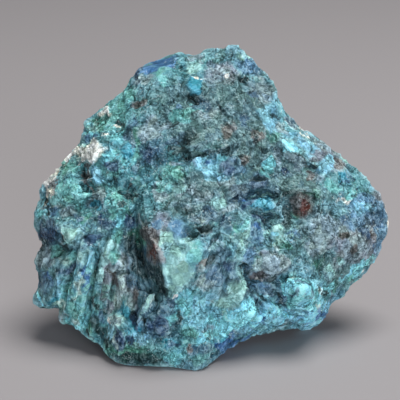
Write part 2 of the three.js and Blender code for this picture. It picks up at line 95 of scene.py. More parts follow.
# Where each mineral shows on the best side: right, up, half width, half height, turn in degrees.
patches = {
    "tealCrust": [
        (-26, 16, 20, 26, -20), (-50, 2, 12, 12, 0), (-5, 52, 14, 7, 5), (-34, 38, 10, 6, 45),
        (-24, -60, 14, 6, 0), (-42, -40, 14, 22, -12), (-2, -58, 14, 8, 0), (60, 6, 9, 5, -35),
        (-52, -40, 6, 9, -12),
    ],
    "oliveCrust": [
        (22, 27, 13, 16, 25), (38, 6, 12, 6, -15), (6, 34, 12, 10, 0), (46, -12, 8, 10, 0),
        (0, 0, 14, 8, 0), (14, -40, 8, 8, 0), (40, 13, 6, 4, -20), (23, 9, 6, 5, 0), (0, 26, 8, 6, 0),
    ],
    "skyCrust": [
        (20, -46, 20, 8, 18), (44, -42, 12, 12, 30), (3, 13, 7, 5, 0), (-2, -44, 9, 8, 0),
        (30, 34, 5, 8, 15), (-47, -36, 4, 18, -12), (10, -24, 3, 8, -20), (34, -45, 12, 5, 20),
        (-35, 34, 7, 7, 0), (-55, 1, 9, 7, 0), (-30.8, -42, 3, 6, 0), (34, 30, 7, 5, -40),
    ],
    "duskCrust": [
        (62, -17, 11, 9, -15), (-36, -34, 3.6, 14, 5), (28, -26, 8, 6, 0), (-28, -40, 3, 12, 5),
        (-17, -16, 4, 12, -12), (8, 50, 7, 5, 0), (72, -4, 6, 8, 0), (-31, -30, 3, 10, 4),
        (26, -25, 7, 5, 10), (50, 18, 9, 4, -38), (70, -8, 8, 6, 0),
    ],
    "deepCrust": [
        (22, 3, 13, 6, 25), (-17, -50, 9, 8, 0), (11, -59, 9, 3, 40), (-25, -24, 5, 17, 8),
        (-61, -16, 5, 8, 0), (14, 13, 6, 5, 0), (20, -31, 5, 7, 0), (33, -37, 5, 5, 0), (-20, 19, 7, 7, 0),
    ],
    "sage": [
        (4, 34, 25, 15, 0), (0, 4, 11, 7, 0), (27, 17, 9, 6, 0), (-3, -1, 9, 4, 0), (36, 6, 10, 4, -10),
        (54, -28, 6.4, 6, 0), (0, 25, 6, 5, 0), (23.6, 8, 5, 3, 0), (-2, 26, 5, 4.4, 0),
        (-28.6, 20, 3, 3, 0), (-14.6, 49.4, 2, 2, 0), (18, 31, 4, 3, 0), (35, -49, 3, 1.6, 0),
        (17.6, 31, 3, 3, 0), (28, -35, 2.6, 2, 0), (-27.6, 20.4, 3, 3, 0),
    ],
    "grey": [
        (-20, 28.8, 4, 5.4, 0), (-22.8, 48.2, 3.4, 1.8, 15), (3.8, 53.2, 2.6, 2.6, 0),
        (3, 35, 4.6, 2.6, 0), (-10, 14.8, 3.6, 1.2, 5), (10.8, 6.8, 2.6, 2.4, 0), (2, -25.2, 1.4, 4, -35),
        (48.8, -11.2, 6, 6.5, -15), (63, -18.4, 5.4, 4.4, -10), (-33.2, -28.8, 2.4, 6, 5),
        (-29.2, -40, 1.6, 4.8, 10), (-41.2, 0.2, 3.4, 5, 0), (-52.4, -4, 4, 3.6, 0),
        (24.6, 43.6, 5.4, 3.6, -25), (-62, -22.8, 4, 4.6, 0), (3.8, -50.4, 2.6, 2.6, 20),
        (24.4, 49, 2, 1.8, 0), (45.4, 9.6, 3, 1.8, -20), (31.6, 17.6, 1.9, 2.8, 0), (-47, -24, 1, 3, -12),
        (-16, 4, 3, 4, 0), (-31, -30, 2.2, 7, 4), (29, -25, 5.4, 4.4, 0), (29.4, -29.4, 3.4, 2, 0),
        (40.4, 13.6, 3, 2, 0), (60.4, -21.6, 3.4, 3, 0), (1.2, 2, 3, 2.2, 0), (-0.4, -7.4, 3, 2, 0),
        (50.4, -38, 3, 3, 30), (-5, -3.6, 2.4, 1.6, 0), (12, -2.6, 5, 1.6, 24), (-56, -46, 2, 2, 0),
        (22.4, -25.4, 3.4, 4.4, 0), (41.2, 13.2, 3.4, 2.4, -30), (55, -12, 4, 3, 0),
        (55.2, -24.4, 3, 3, 0), (37.4, 17, 4, 2, -35), (16.4, 4.4, 3, 1.4, 20), (7, -18, 2.4, 3, 0),
        (-2.4, 3.2, 4, 2, 0), (66, -12, 3, 3, 0), (-8, 2, 2, 2, 0), (46.6, -18, 4, 3, 0),
        (2.4, -12.4, 2.6, 2, 0), (15, 4, 3, 1.4, 20), (14, 5, 4, 1.6, 30), (9.4, 51, 3, 2, -30),
        (56, 17, 4, 2, -38), (-15.6, 30, 3.4, 2.4, 0), (23.2, -25, 3.2, 4.4, 0), (29.2, -29, 3.4, 2, 0),
        (41, 12.8, 3, 2, -30), (-4.8, -3.2, 3, 2, 0), (-28, -41.6, 2, 3, 0), (-28.4, -41.8, 2, 3, 0),
        (-34.6, -54.8, 2.2, 3, 0), (-22.6, -9.6, 2.4, 2, 0), (36.8, 31, 3.4, 1.6, -40),
        (48, 22, 4, 1.6, -40), (33, 28.6, 3, 2, -40), (-23.4, -8.2, 2.2, 2, 0), (54, 13, 4, 2, -38),
        (2, -32.8, 3, 4, 0), (-22.8, -8.6, 2, 2, 0), (-34.4, -55.6, 2, 3, 10), (-23, -9.4, 2.4, 2.2, 0),
        (-2, 56.8, 4, 1.8, 10),
    ],
    "dustyBlue": [
        (66.4, -3.2, 7.6, 3.8, -15), (72.4, -13.2, 2.4, 8, -10), (23, -13.6, 3.2, 4, 0),
        (37.3, -14.4, 3, 3, 0), (-38.7, -8.2, 2.2, 3, 0), (-60.8, -32.4, 3, 3.4, 0),
        (-27.8, 30.8, 3.8, 2.6, 0), (-43.4, 24.6, 2.6, 1.4, 15), (15.8, 11.8, 2.6, 2, 0),
        (57.8, 8.4, 2.2, 2.8, -20), (-58.6, -4, 2.2, 2.4, 0), (-8.6, -12, 4.2, 4, 0),
        (21, -23, 3.6, 4.6, 0), (62, -8, 5, 4, 0), (-9, 36.5, 2.2, 1.6, 0), (24, -34.8, 5, 1.8, 0),
        (11, 12.6, 2.6, 2.6, 0), (-3, -41, 1.4, 3, 0), (-20, 18, 4, 4.6, 0), (-16.4, -10.2, 2.4, 2.6, 0),
        (-8, -12, 4.6, 3.6, 0), (66, -2, 6, 3.6, -20), (72.6, -9, 2.4, 5, 0), (-33.8, -55.6, 2.6, 3.6, 10),
        (19.6, 53.2, 5, 3.4, -25), (-0.8, 14.4, 2.4, 1.8, 0), (-34.4, -54.4, 2.2, 3, 10),
        (46, -47, 2, 2, 0), (6, -30, 2.4, 4, -20), (-1.6, 15.4, 2, 1.6, 0),
    ],
    "navy": [
        (-25, 51.2, 1.8, 1.4, 0), (-20.8, 18, 2.6, 3.4, 0), (-35, 13.7, 3.6, 1.6, 20),
        (25, -6.8, 3.2, 1.6, 0), (34.8, 11.6, 1.8, 1.8, 0), (-28.4, -8.6, 1.8, 3, 0),
        (-43.6, -14.8, 3.8, 2.2, 0), (-26.8, -47.2, 1.6, 4, 0), (11.2, -26.8, 2, 2.8, 0),
        (20, -1.4, 4, 1, 24), (66, -13, 2.6, 2.6, 0), (-39, -7, 1.4, 2.4, 0), (-28, -56, 1.4, 3, 10),
        (-16.4, -50.6, 4.4, 4, 0), (-31.4, -56, 1.3, 3.4, 10), (12, 14, 1.4, 1.6, 0),
        (-25.4, 51, 2, 2, 30), (-33.2, -54, 0.9, 3, 5), (-51.4, -27.4, 3.2, 1.5, 10),
        (-61.6, -14.2, 3.6, 4, -25), (23.6, 7, 3.2, 1.5, 20), (12, 13.2, 2.4, 1.8, 0),
    ],
    "cobalt": [
        (7.4, -58.4, 1.6, 2.5, -35), (10.6, -58.5, 5, 1.6, 53), (2.2, 14.9, 1.8, 0.8, -10),
        (-46, -28.8, 1.2, 3.2, -12), (24.8, -47.6, 1.8, 1.6, 0), (18.4, 0.8, 1.4, 1.2, 0),
        (-17.8, -51, 1.8, 1.6, 0), (-14.6, -48.6, 1.4, 1.2, 0), (-60, -30, 0.8, 2.4, 0),
        (23.6, -10.8, 1, 1.2, 0), (48, -46, 1.6, 2.6, -20), (-46, -34, 0.8, 2.6, -12),
        (12, -58, 4.4, 1.6, 48), (18.6, -55, 3, 1.3, 30), (-16.6, 54, 8, 2.3, 20),
    ],
    "skyBlue": [
        (27.6, 33.2, 3.8, 5.4, 15), (2.6, 14, 4.2, 3, 0), (-23.6, -55.4, 4.6, 2.6, -10),
        (-36, -52.4, 1.4, 4.2, 8), (44.4, -47.2, 4.2, 3.2, 30), (28.6, -44.4, 4.4, 3.6, 0),
        (4, 8.6, 2.6, 1.8, 0), (-41, 9.6, 2.6, 3.4, 20), (11, -31, 2, 5, -20), (16.8, -45.4, 5, 3, 15),
        (27.6, -45, 4, 2.6, 15), (21.6, -49.4, 3, 2, 30), (48, -43, 3, 3, 0), (66, -3.4, 5, 3, -20),
        (43.4, 21.2, 4, 2.6, -38), (24.4, -46.6, 4, 3, 20), (10.6, -49.6, 4, 2.6, 15), (38, -47, 3, 2, 10),
        (6, 9.2, 4, 2.4, 0), (17.2, -45.2, 4.4, 3, 10), (43, -46.6, 4, 2.2, 25), (30.6, -44, 5, 2.4, 10),
        (24.4, -48.6, 4, 2, 20), (12, -53, 3, 1.6, 20), (45, -47.4, 4, 1.6, 25), (3.6, 13.8, 3.6, 3, 0),
        (50, 14, 3, 4, -35), (-56, -36, 2.2, 4, -12),
    ],
    "turquoise": [
        (-33, -9.6, 3.6, 2.6, 0), (-33.6, -4.8, 3, 2.6, 0), (-35.4, 17.4, 3, 3, 0),
        (-43.8, 27.8, 3.4, 2.2, 20), (-32.6, 24.8, 2.8, 2, 0), (9.2, 17, 2.2, 1.8, 0),
        (23.6, -1, 2.4, 1.6, 0), (18.8, -45.2, 3.6, 4.6, 0), (12, -48, 6.4, 4, 20),
        (35.6, -34, 3.4, 3.8, 0), (-5.8, -42, 3.2, 5.2, -15), (-47.8, -47.6, 2.2, 3.6, 0),
        (-10, -63.2, 4.6, 2.6, 0), (64.4, -27.6, 8, 1.6, 42), (-63.8, -4.8, 1.8, 2.4, 0),
        (27.6, 14.6, 2, 2.6, 0), (2, -55, 4, 3, 10), (-50.4, -41, 2, 5, -15), (-27, 12, 3, 4, 0),
        (-45.4, -49, 1.8, 3.2, -10), (9.4, -52, 3.6, 2.6, 0), (-54.6, -37, 1.4, 4, -12),
        (-33.4, -46.6, 1.6, 2.8, 0), (-11, -47.6, 2, 2, 0), (5, -48, 4, 3, 0), (-8, -42, 3, 4, -15),
        (14, -50, 4, 3, 0), (-6, -50, 2, 2, 0), (49, -37.6, 3, 3, 30), (-30, 16, 4, 4, 0),
        (45, -41, 3.4, 4, 20), (36, -40.6, 2, 2, 0), (-52, -49, 3, 1.4, -30), (-32.4, -4.6, 3.4, 3, 0),
        (-33, -10, 3, 3, 0), (41, -36, 5, 4, -15), (-50.4, -47.2, 3, 3, 0), (-46, 14, 2, 2, 0),
    ],
    "mint": [
        (-14.4, -16, 1.6, 3.4, -10), (16.6, -19.6, 1.8, 5.6, -5), (-46, -22.4, 1.6, 4.6, -12),
        (-49.4, -36.8, 1.3, 7.4, -14), (-54.4, -23.2, 3.4, 1.8, 0), (-35.2, -19.2, 3.2, 4.2, 0),
        (15.2, -35, 2.8, 7.8, 0), (-36.4, -34.8, 2.2, 2.2, 0), (-35.2, -38.8, 2.4, 1.8, 0),
        (-34.2, -45.6, 1.6, 2.2, -30), (59.2, 15.2, 2.8, 1.2, -45), (-65.2, -34, 0.7, 3, 10),
        (-2.6, 52.6, 3, 2.4, 0), (-21.4, -42.6, 0.7, 6.2, -20), (18.2, 58.4, 2.6, 1.2, -50),
        (10, -41, 4, 3, 0), (-26, -57.6, 3.6, 0.8, 0), (52, -29, 2.4, 2, 0), (-39.6, -27.6, 1.7, 7.4, -14),
        (-30.8, -41.4, 2, 4, 0), (-36.4, 34.8, 3.8, 3.8, 0), (16.2, -11, 4, 2, 38),
        (30.8, -14.6, 3.8, 3.8, 0), (-33.4, -37, 1.8, 2.4, 0), (-56, -43, 1.6, 3.6, -10),
        (-13, -15.4, 2, 3.6, 0), (-4.6, -18.6, 4, 4, 0), (-47.4, 19.4, 5, 2.4, 30), (-50, 1.4, 3, 3, 0),
        (-9.4, -35.6, 3, 2, 0), (-8.6, -26, 6, 9, 12), (6.4, -0.6, 3, 2, 0), (-33, -41, 1.6, 2.6, 0),
        (-8, 4, 3, 2.4, 0), (7.2, -18.4, 2.4, 2, 0), (37, -15, 2, 2, 0), (55.8, -24.4, 1.6, 2, 20),
        (-28, -52, 1.4, 2, 0), (-32.6, -47.4, 1.6, 2.4, 0), (30, -13.6, 3, 3, 0), (18.8, -12, 2.6, 2, 30),
        (24, 1.4, 4.6, 0.6, 0), (-55.6, -21.6, 2.4, 2.6, 0), (-34.2, -49.2, 1.8, 2.6, 0),
        (-50.4, -46.6, 1.6, 3, -10), (14, -34.4, 2.8, 4.4, 10), (6, -9, 2, 1.4, 0),
        (22.4, -24.6, 2.4, 3, 0), (-51.4, -14, 3.6, 3.4, 0), (-52, -22.4, 5, 2, 0),
        (43.6, 11.4, 2.4, 1.8, 0), (-34, -53, 1.6, 3, 10), (-32.4, -42.4, 2, 2.4, 0),
        (-10.8, 7.4, 3, 1.6, 0), (-42.4, 28.6, 2.4, 1.6, 20),
    ],
    "seafoam": [
        (-1.6, -20.8, 3.6, 5, -25), (-52.4, 4, 5.6, 4.4, 10), (-34.8, 1.2, 3, 4, 0),
        (-33.6, 31.6, 2.2, 2, 0), (-31.2, 41.2, 5.4, 3.6, 35), (-50.8, 13.2, 2.4, 3, 0),
        (-8, 33.6, 5, 2.4, 0), (-3.7, -52.4, 3.4, 2.2, 0), (9.2, -53.2, 2.2, 1.2, 0),
        (-32.4, -14.6, 2.4, 2.6, 0), (60, -32, 1.8, 1.4, 0), (-27, 20, 3, 4, 0), (-9, -57.4, 4, 1.6, 0),
        (-14, 5, 3, 2, 0), (-55.2, 1.8, 5, 4.4, 0), (-50, 0.6, 4.6, 4, 0), (-55.6, -21, 2.6, 2, 0),
        (-50, -22.2, 2, 2.4, 0), (-34, 34, 7, 6.4, 0), (-58, 12, 3, 3, 40), (-44, -31, 1.8, 6, -12),
        (26, 10, 2, 2, 0), (-2, 36, 4, 2, 0), (52, 6, 4, 2, -30), (60, 2, 3, 2, 0),
        (-50.8, -44, 2, 3, -10), (-44.2, -36.4, 1.8, 4, -10), (-60, -50, 2, 2, 0), (-34, -4, 3.4, 3, 0),
        (-57, -20.4, 3, 2, 0), (-11.6, 10, 4, 3, 0), (-34, -22, 2, 3, 0), (-55.6, 0, 4, 3, 0),
        (-55.4, -21.6, 3, 2, 0), (17, -10.6, 4, 2, 38), (-15.6, 49, 2.2, 3, 0), (-47.4, -41, 1.6, 4, -12),
        (-52.6, -34, 1.6, 4, -10), (44, -39, 2, 3, 20),
    ],
    "teal": [
        (-2.9, 46.6, 2.9, 3, 0), (21.6, -1.4, 1.8, 1.6, 0), (-41, -2, 2, 2.4, 0), (-58, -40, 3, 2, 0),
        (-27, -50, 3, 3.4, 0), (57, 9, 2, 2.4, -20), (-30, -45, 2, 4, 10), (24, -1.6, 5, 2.4, 0),
        (-2.7, 45.6, 3, 3.2, 0), (-29, 19.8, 3, 2.6, 0), (-12, -57, 4, 1.6, 0), (9.4, -55.6, 3, 1.6, 50),
    ],
    # The aqua patches along the lower edge are partly painted light: a brighter tone on faces that turn
    # down into shade. The rest is a bright aqua mineral.
    "aquaAndPaintedLight": [
        (-33, -9.4, 2.2, 1.4, 0), (19, -42, 2.2, 2.6, 10), (44, -47, 2.6, 1.4, 35),
        (-48, -46, 1.4, 1.8, 0), (29.6, -43, 2, 2, 0), (-6.4, -40, 1.2, 3, -15), (35, -32.6, 1.8, 1.6, 0),
        (29.4, -14, 1.2, 0.9, 0), (24.8, -0.6, 1, 0.9, 0), (17, -46.2, 4.6, 3, 10),
        (28.4, -45, 5, 2.8, 15), (9.6, -51.4, 4, 2.4, 10), (43, -47.2, 3.4, 1.8, 25),
        (22.6, -48, 4, 1.6, 20), (35, -46.4, 3, 1.6, 10), (35.6, 20.8, 4.2, 2, -40),
        (17, -44.6, 5, 2.4, 10), (44.6, -46.4, 2.6, 1.6, 25), (25.4, -47.4, 4, 1.4, 15),
        (11, -50.6, 2, 1.4, 0), (-34, -9.4, 2.6, 2.2, 0), (-64, -40, 1, 3, 10), (52, -35, 3, 1, 45),
        (60, -29, 5, 1, 43), (-34.6, -8.6, 3, 2.6, 0), (43.8, -38.8, 1.8, 2.4, 20),
        (11.6, -53.4, 2.6, 1.4, 20),
    ],
    "brown": [
        (17.8, 16.6, 1.9, 2.2, 0), (55.4, 14.2, 2, 2.2, 0), (40.6, -2.4, 5, 4.6, 0),
        (-27.2, 5.8, 0.8, 2, 0), (-4, -59.2, 1.4, 1.2, 0), (-44.8, 6, 0.6, 5, 14),
        (0.8, -24.6, 0.9, 3.4, -35), (-58, 6.4, 0.8, 3, 12), (44, 9, 1.8, 1.4, 0),
        (-34.6, -32, 1.5, 3.6, 12), (-18.6, -18, 2.6, 7.4, 8), (-21.8, -13, 2.2, 3, 0),
        (22.8, -30.4, 2.6, 1.6, 15), (62, -20, 2, 1.6, 0), (57, -14, 1.6, 1.6, 0), (11.6, 27, 3.2, 4.4, 0),
        (-24, 38.2, 3.4, 2, 25), (23, 26, 3, 2, -30), (17.6, 17.4, 2.4, 1.8, 0), (-61, 7, 2, 3, 40),
        (-44.8, 10, 1, 3.6, 14), (70, -14, 1.6, 2.4, 0), (-16.4, -21.6, 2.4, 4.6, 10),
        (-26.4, -37.6, 1.4, 3.6, -12),
    ],
    "rust": [
        (-18.2, -19.6, 1.3, 3, 8), (41.2, -3, 2.7, 2.6, 0),
    ],
    "cream": [
        (-38.3, 26.4, 0.9, 0.8, 0), (-34.2, 28.8, 1, 0.8, 0), (-52.8, 16.8, 4.6, 0.8, 45),
        (58.4, 0, 3.2, 0.9, 15), (65.4, -28.6, 3.4, 0.4, 41), (18.4, 58.8, 1.6, 0.6, -50),
        (75.4, -6, 0.7, 7, 8), (23.6, -31.6, 1.6, 0.4, 5), (-54.8, -15.6, 0.8, 1.8, 30),
        (-48.6, 19.4, 3, 1.7, 20), (-36, -49, 0.9, 1.6, 10), (-59, 9, 4.6, 1.1, 57),
        (-61.4, 0.8, 1.2, 2.4, 0), (-43.4, 18.8, 5.8, 3.4, 28), (10.6, 50, 1.4, 1, 0),
        (-37.8, 34.8, 2.4, 1.5, 15), (-60, 4, 1.6, 3, 30), (-10, -38.8, 1.3, 0.7, -20),
        (42, 27, 3, 0.5, -38), (-1.2, 48.4, 2, 0.3, -36),
    ],
    # On the best side these dark green patches follow the slits, the groove and the underside: painted
    # shade there, a dark green mineral on the unseen sides.
    "darkGreenAndPaintedShade": [
        (-3.2, 40.8, 2.6, 1.5, -35), (4, 46.8, 1.8, 0.7, 0), (16.4, 47.8, 2.6, 1.1, -30),
        (8.6, 36.4, 0.9, 3.2, 25), (-11.4, 31, 1.9, 1, 40), (-4.8, 17.8, 3, 1.3, -10),
        (10, 20.8, 2, 0.9, 0), (31.2, 39.6, 0.8, 0.8, 0), (30.4, 32.8, 1, 1, 0), (45.2, 13.8, 2, 1.4, -20),
        (-61.5, -3.2, 0.8, 3.8, 8), (-28, 1.8, 4, 1.2, -8), (0, -12.4, 2.6, 1, 32), (34.6, -6, 1, 3.6, 0),
        (46, 0, 0.8, 2.6, 0), (39.2, 3, 5.4, 0.9, 0), (17.8, -27.4, 0.7, 2.8, 0),
        (-22.3, -49.4, 0.8, 2.8, 0), (-25.2, -63.4, 11, 2.8, -6), (40, 16.6, 7.4, 0.5, -33),
        (22.8, 25.6, 1, 2.4, 20), (-7, 23.4, 4, 1, 10), (24.6, 20.6, 3, 0.8, -30), (-9, -47, 1, 3, 10),
        (-40.4, -25, 0.6, 3.6, -12), (-61, -44, 4, 0.7, -12), (-39.8, -53.4, 1.4, 3.4, 15),
        (-16.8, -32, 2.2, 7.4, 25), (-23, -28, 3, 5, 10), (-33, 8, 0.8, 2.6, 30), (-31, -2, 0.7, 3, 20),
        (-28, 4.4, 0.7, 3, -40), (32, -38.6, 0.9, 2.6, 40), (-32, 30, 1.4, 2, 30), (5, 18.8, 8, 0.4, 2),
        (16, 18.4, 2, 1, 0), (-62.6, -18, 2, 3, 0), (24, 8.2, 4, 1, 15), (-46, -53, 2.4, 1.4, -40),
        (33, -50, 3, 0.9, 10), (34, -9.4, 2.4, 0.9, 0), (-3.6, 26, 3, 2.6, 0), (-9, 20, 4, 1.6, 10),
        (49, -37, 0.8, 3, 20), (24, -38, 3, 0.8, -40), (-41.8, -41, 0.9, 4.4, -12),
        (-37.4, -57, 1.8, 2.6, 30), (-54.2, -16.6, 1.2, 2.2, 15), (-26.4, -21.6, 3.2, 7.6, 10),
        (-41.4, -49.6, 1, 2.6, -10), (-24.4, 38, 1.3, 0.7, 25),
    ],
    "slate": [
        (8, -26.6, 4.6, 9, -14), (10.8, -9, 3, 2.6, 0), (10, -22, 3, 3, 0), (-26, -46, 3, 4, 0),
        (-60, -11, 4, 4, 0), (-38, -9, 4, 2.6, 0), (3, -4.6, 4, 2.4, 30), (4, 54, 3, 2, 0),
        (0, -60, 4, 3, 0), (-39.4, -46, 1.8, 3.6, 10), (22, 43, 3, 2, 0), (-10, 24, 5, 2, 20),
        (-26, 12, 3, 3, 0), (-63, -32, 2, 4, 0), (-12, -40, 2, 2, 0), (12.6, -28.6, 2.6, 5, -15),
        (16, 1.6, 4, 1.6, 25), (-28, 26, 2.6, 3, 0), (12, 13.6, 3.6, 3, 0), (24, 7.4, 4, 2.6, 20),
        (11.6, -29, 3.4, 6, -10), (70, -7, 4, 3.4, 0), (12, -29.4, 3.4, 4, 0), (0.8, 37.6, 3.6, 2.6, 0),
        (18.4, 31, 2.6, 2.2, 0), (23.6, 7, 4, 1.6, 15), (28, -35.4, 2.4, 2, 0), (58, -8, 2, 1.6, 0),
        (-48.6, -7.2, 3, 1.6, 0), (-11, -57.4, 3, 1.4, 0), (22, -39.8, 3, 1.4, -30), (11.6, 13, 3.6, 3, 0),
        (-54.6, -28, 2, 2, 0), (-2.4, 16, 1.6, 1.4, 0), (34, -39.2, 2, 3, 40), (38.2, -36.8, 1.2, 1, 0),
        (42.6, -36.4, 1.2, 0.9, 20), (40.4, -33.6, 1.8, 0.7, -15), (36.6, 31.4, 2.4, 0.9, -40),
        (-27.6, 22, 1.6, 1.8, 0),
    ],
    "malachite": [
        (-4.6, 27.6, 4.6, 4.4, 0), (-14, 38, 4.4, 3, 30), (8, 42, 3, 2.2, 0), (38, -5.8, 1.6, 2.2, 0),
        (-54, 14, 3.4, 3, 40), (-40, 31, 5, 3, 20), (-9.4, 10.6, 4.6, 2.2, 0), (-26, 26, 3, 4, 0),
        (22, 34, 3, 2.4, 0), (-31, -5, 3.4, 3.4, 0), (-28, -61, 9, 3.4, -5), (4, 21.4, 5, 1.6, 0),
        (44, 2.6, 4, 1.4, 0), (-8, -20, 3, 3, 0), (14, -40, 4, 2, 0), (-24, -15, 3, 5, 10),
        (28, 27, 4, 2.4, -30), (-46, -8, 3, 2, 0), (54, -34, 3, 2, 45), (-6, 34, 3, 2, 0),
        (-36, -60, 4, 3, -40), (-43.6, -50, 2, 3, -10), (33, -18, 3, 2, 0), (48, -26, 4, 3, 0),
        (-60, -52, 1, 1, 0), (37.6, -4.4, 1.4, 3, 0),
    ],
    # Chalk on the best side is painted light: a pale tone laid on faces that lie in shade to lift them. On
    # the unseen sides it is a pale mineral.
    "chalkAndPaintedLight": [
        (-33.6, -41.2, 1.6, 2.6, 0), (-34, -49, 1.7, 2.6, 0), (-33.2, -35.4, 1.5, 1.8, 0),
        (-36.8, 34.4, 2.6, 2, 0), (-44.2, -36.4, 1.3, 4, -10), (-55, -41, 1.3, 3, -10),
        (-55.4, -21.6, 2.2, 2, 0), (-57.8, 0, 2.4, 2.4, 0), (22.6, -25.4, 2, 2.6, 0),
        (-48.8, -36, 0.9, 6, -12), (-27.8, -41.8, 1, 2, 0), (28, -45.6, 2.6, 1, 20),
        (-4.6, -3.4, 2, 1.2, 0), (41, 13.4, 2, 1.2, -30), (57, -1, 3, 0.6, 10),
        (-54.8, -22.4, 2.2, 1.6, 0), (-57, -0.6, 2.4, 2, 0), (46.6, -42.4, 0.8, 3, 25),
        (-19.4, -41, 0.5, 3, -20), (17, -45, 2.4, 1.2, 10), (36.8, -31.6, 3, 0.6, 10),
        (48, -36, 0.6, 3, 20), (-44.4, 11, 1, 4, 14), (3, -33, 1.8, 2, 0), (-54, -1, 2.4, 2, 0),
        (-37.6, 34, 3, 2.6, 0), (-33, -36.4, 2, 2.8, 0), (-50, -46, 1.8, 3, -10), (-34, -56, 1.6, 2.4, 10),
        (-55.6, -22, 2.6, 2.2, 0), (-31.2, -30, 1.5, 5, 4), (-23.2, -8.6, 1.6, 1.8, 0),
        (31.6, -18.4, 1.8, 1.4, 0), (-56.4, -2.4, 3, 1.6, 0), (-33, 33.4, 1.8, 2, 0),
        (0.4, -7.2, 1.8, 1.2, 0),
    ],
}

# What each mineral looks like: its tone, 0 to 255, how much of the crust under it it hides, and on the
# unseen sides its share and the size of its patches, millimetres. They lie one over another in this order.
minerals = {
    "tealCrust": {"tone": (88, 152, 160), "cover": 0.85, "share": 0.35, "spacing": 30},
    "oliveCrust": {"tone": (100, 132, 136), "cover": 0.8, "share": 0.25, "spacing": 26},
    "skyCrust": {"tone": (128, 196, 214), "cover": 0.85, "share": 0.2, "spacing": 24},
    "duskCrust": {"tone": (134, 134, 146), "cover": 0.8, "share": 0.15, "spacing": 22},
    "deepCrust": {"tone": (66, 108, 130), "cover": 0.8, "share": 0.18, "spacing": 20},
    "malachite": {"tone": (72, 136, 120), "cover": 0.85, "share": 0.16, "spacing": 13},
    "sage": {"tone": (92, 127, 134), "cover": 0.9, "share": 0.26, "spacing": 21},
    "grey": {"tone": (145, 169, 178), "cover": 0.9, "share": 0.2, "spacing": 12},
    "dustyBlue": {"tone": (93, 136, 167), "cover": 0.9, "share": 0.16, "spacing": 11},
    "skyBlue": {"tone": (140, 202, 226), "cover": 0.9, "share": 0.12, "spacing": 12},
    "turquoise": {"tone": (124, 204, 214), "cover": 0.88, "share": 0.2, "spacing": 13},
    "mint": {"tone": (158, 208, 206), "cover": 0.9, "share": 0.18, "spacing": 14},
    # Chalk is painted light on the best side, where it lifts shaded faces, and a pale mineral on the unseen
    # sides.
    "chalkAndPaintedLight": {"tone": (200, 226, 226), "cover": 0.85, "share": 0.05, "spacing": 10},
    "seafoam": {"tone": (116, 188, 186), "cover": 0.88, "share": 0.16, "spacing": 12},
    "teal": {"tone": (60, 156, 182), "cover": 0.9, "share": 0.05, "spacing": 8},
    # Aqua is a bright mineral, and along the lower edge of the best side also painted light on faces turned
    # down into shade.
    "aquaAndPaintedLight": {"tone": (146, 228, 242), "cover": 0.92, "share": 0.03, "spacing": 7},
    "cobalt": {"tone": (60, 114, 170), "cover": 0.9, "share": 0.04, "spacing": 8},
    "slate": {"tone": (72, 106, 130), "cover": 0.85, "share": 0.12, "spacing": 15},
    "navy": {"tone": (42, 78, 112), "cover": 0.92, "share": 0.06, "spacing": 12},
    "brown": {"tone": (118, 114, 114), "cover": 0.9, "share": 0.06, "spacing": 13},
    "rust": {"tone": (112, 54, 46), "cover": 0.92, "share": 0.01, "spacing": 9},
    "cream": {"tone": (244, 240, 232), "cover": 0.92, "share": 0.015, "spacing": 12},
    # Dark green is a mineral on the unseen sides and painted shade in the slits, groove and underside of
    # the best side.
    "darkGreenAndPaintedShade": {"tone": (32, 62, 66), "cover": 0.88, "share": 0.06, "spacing": 12},
}

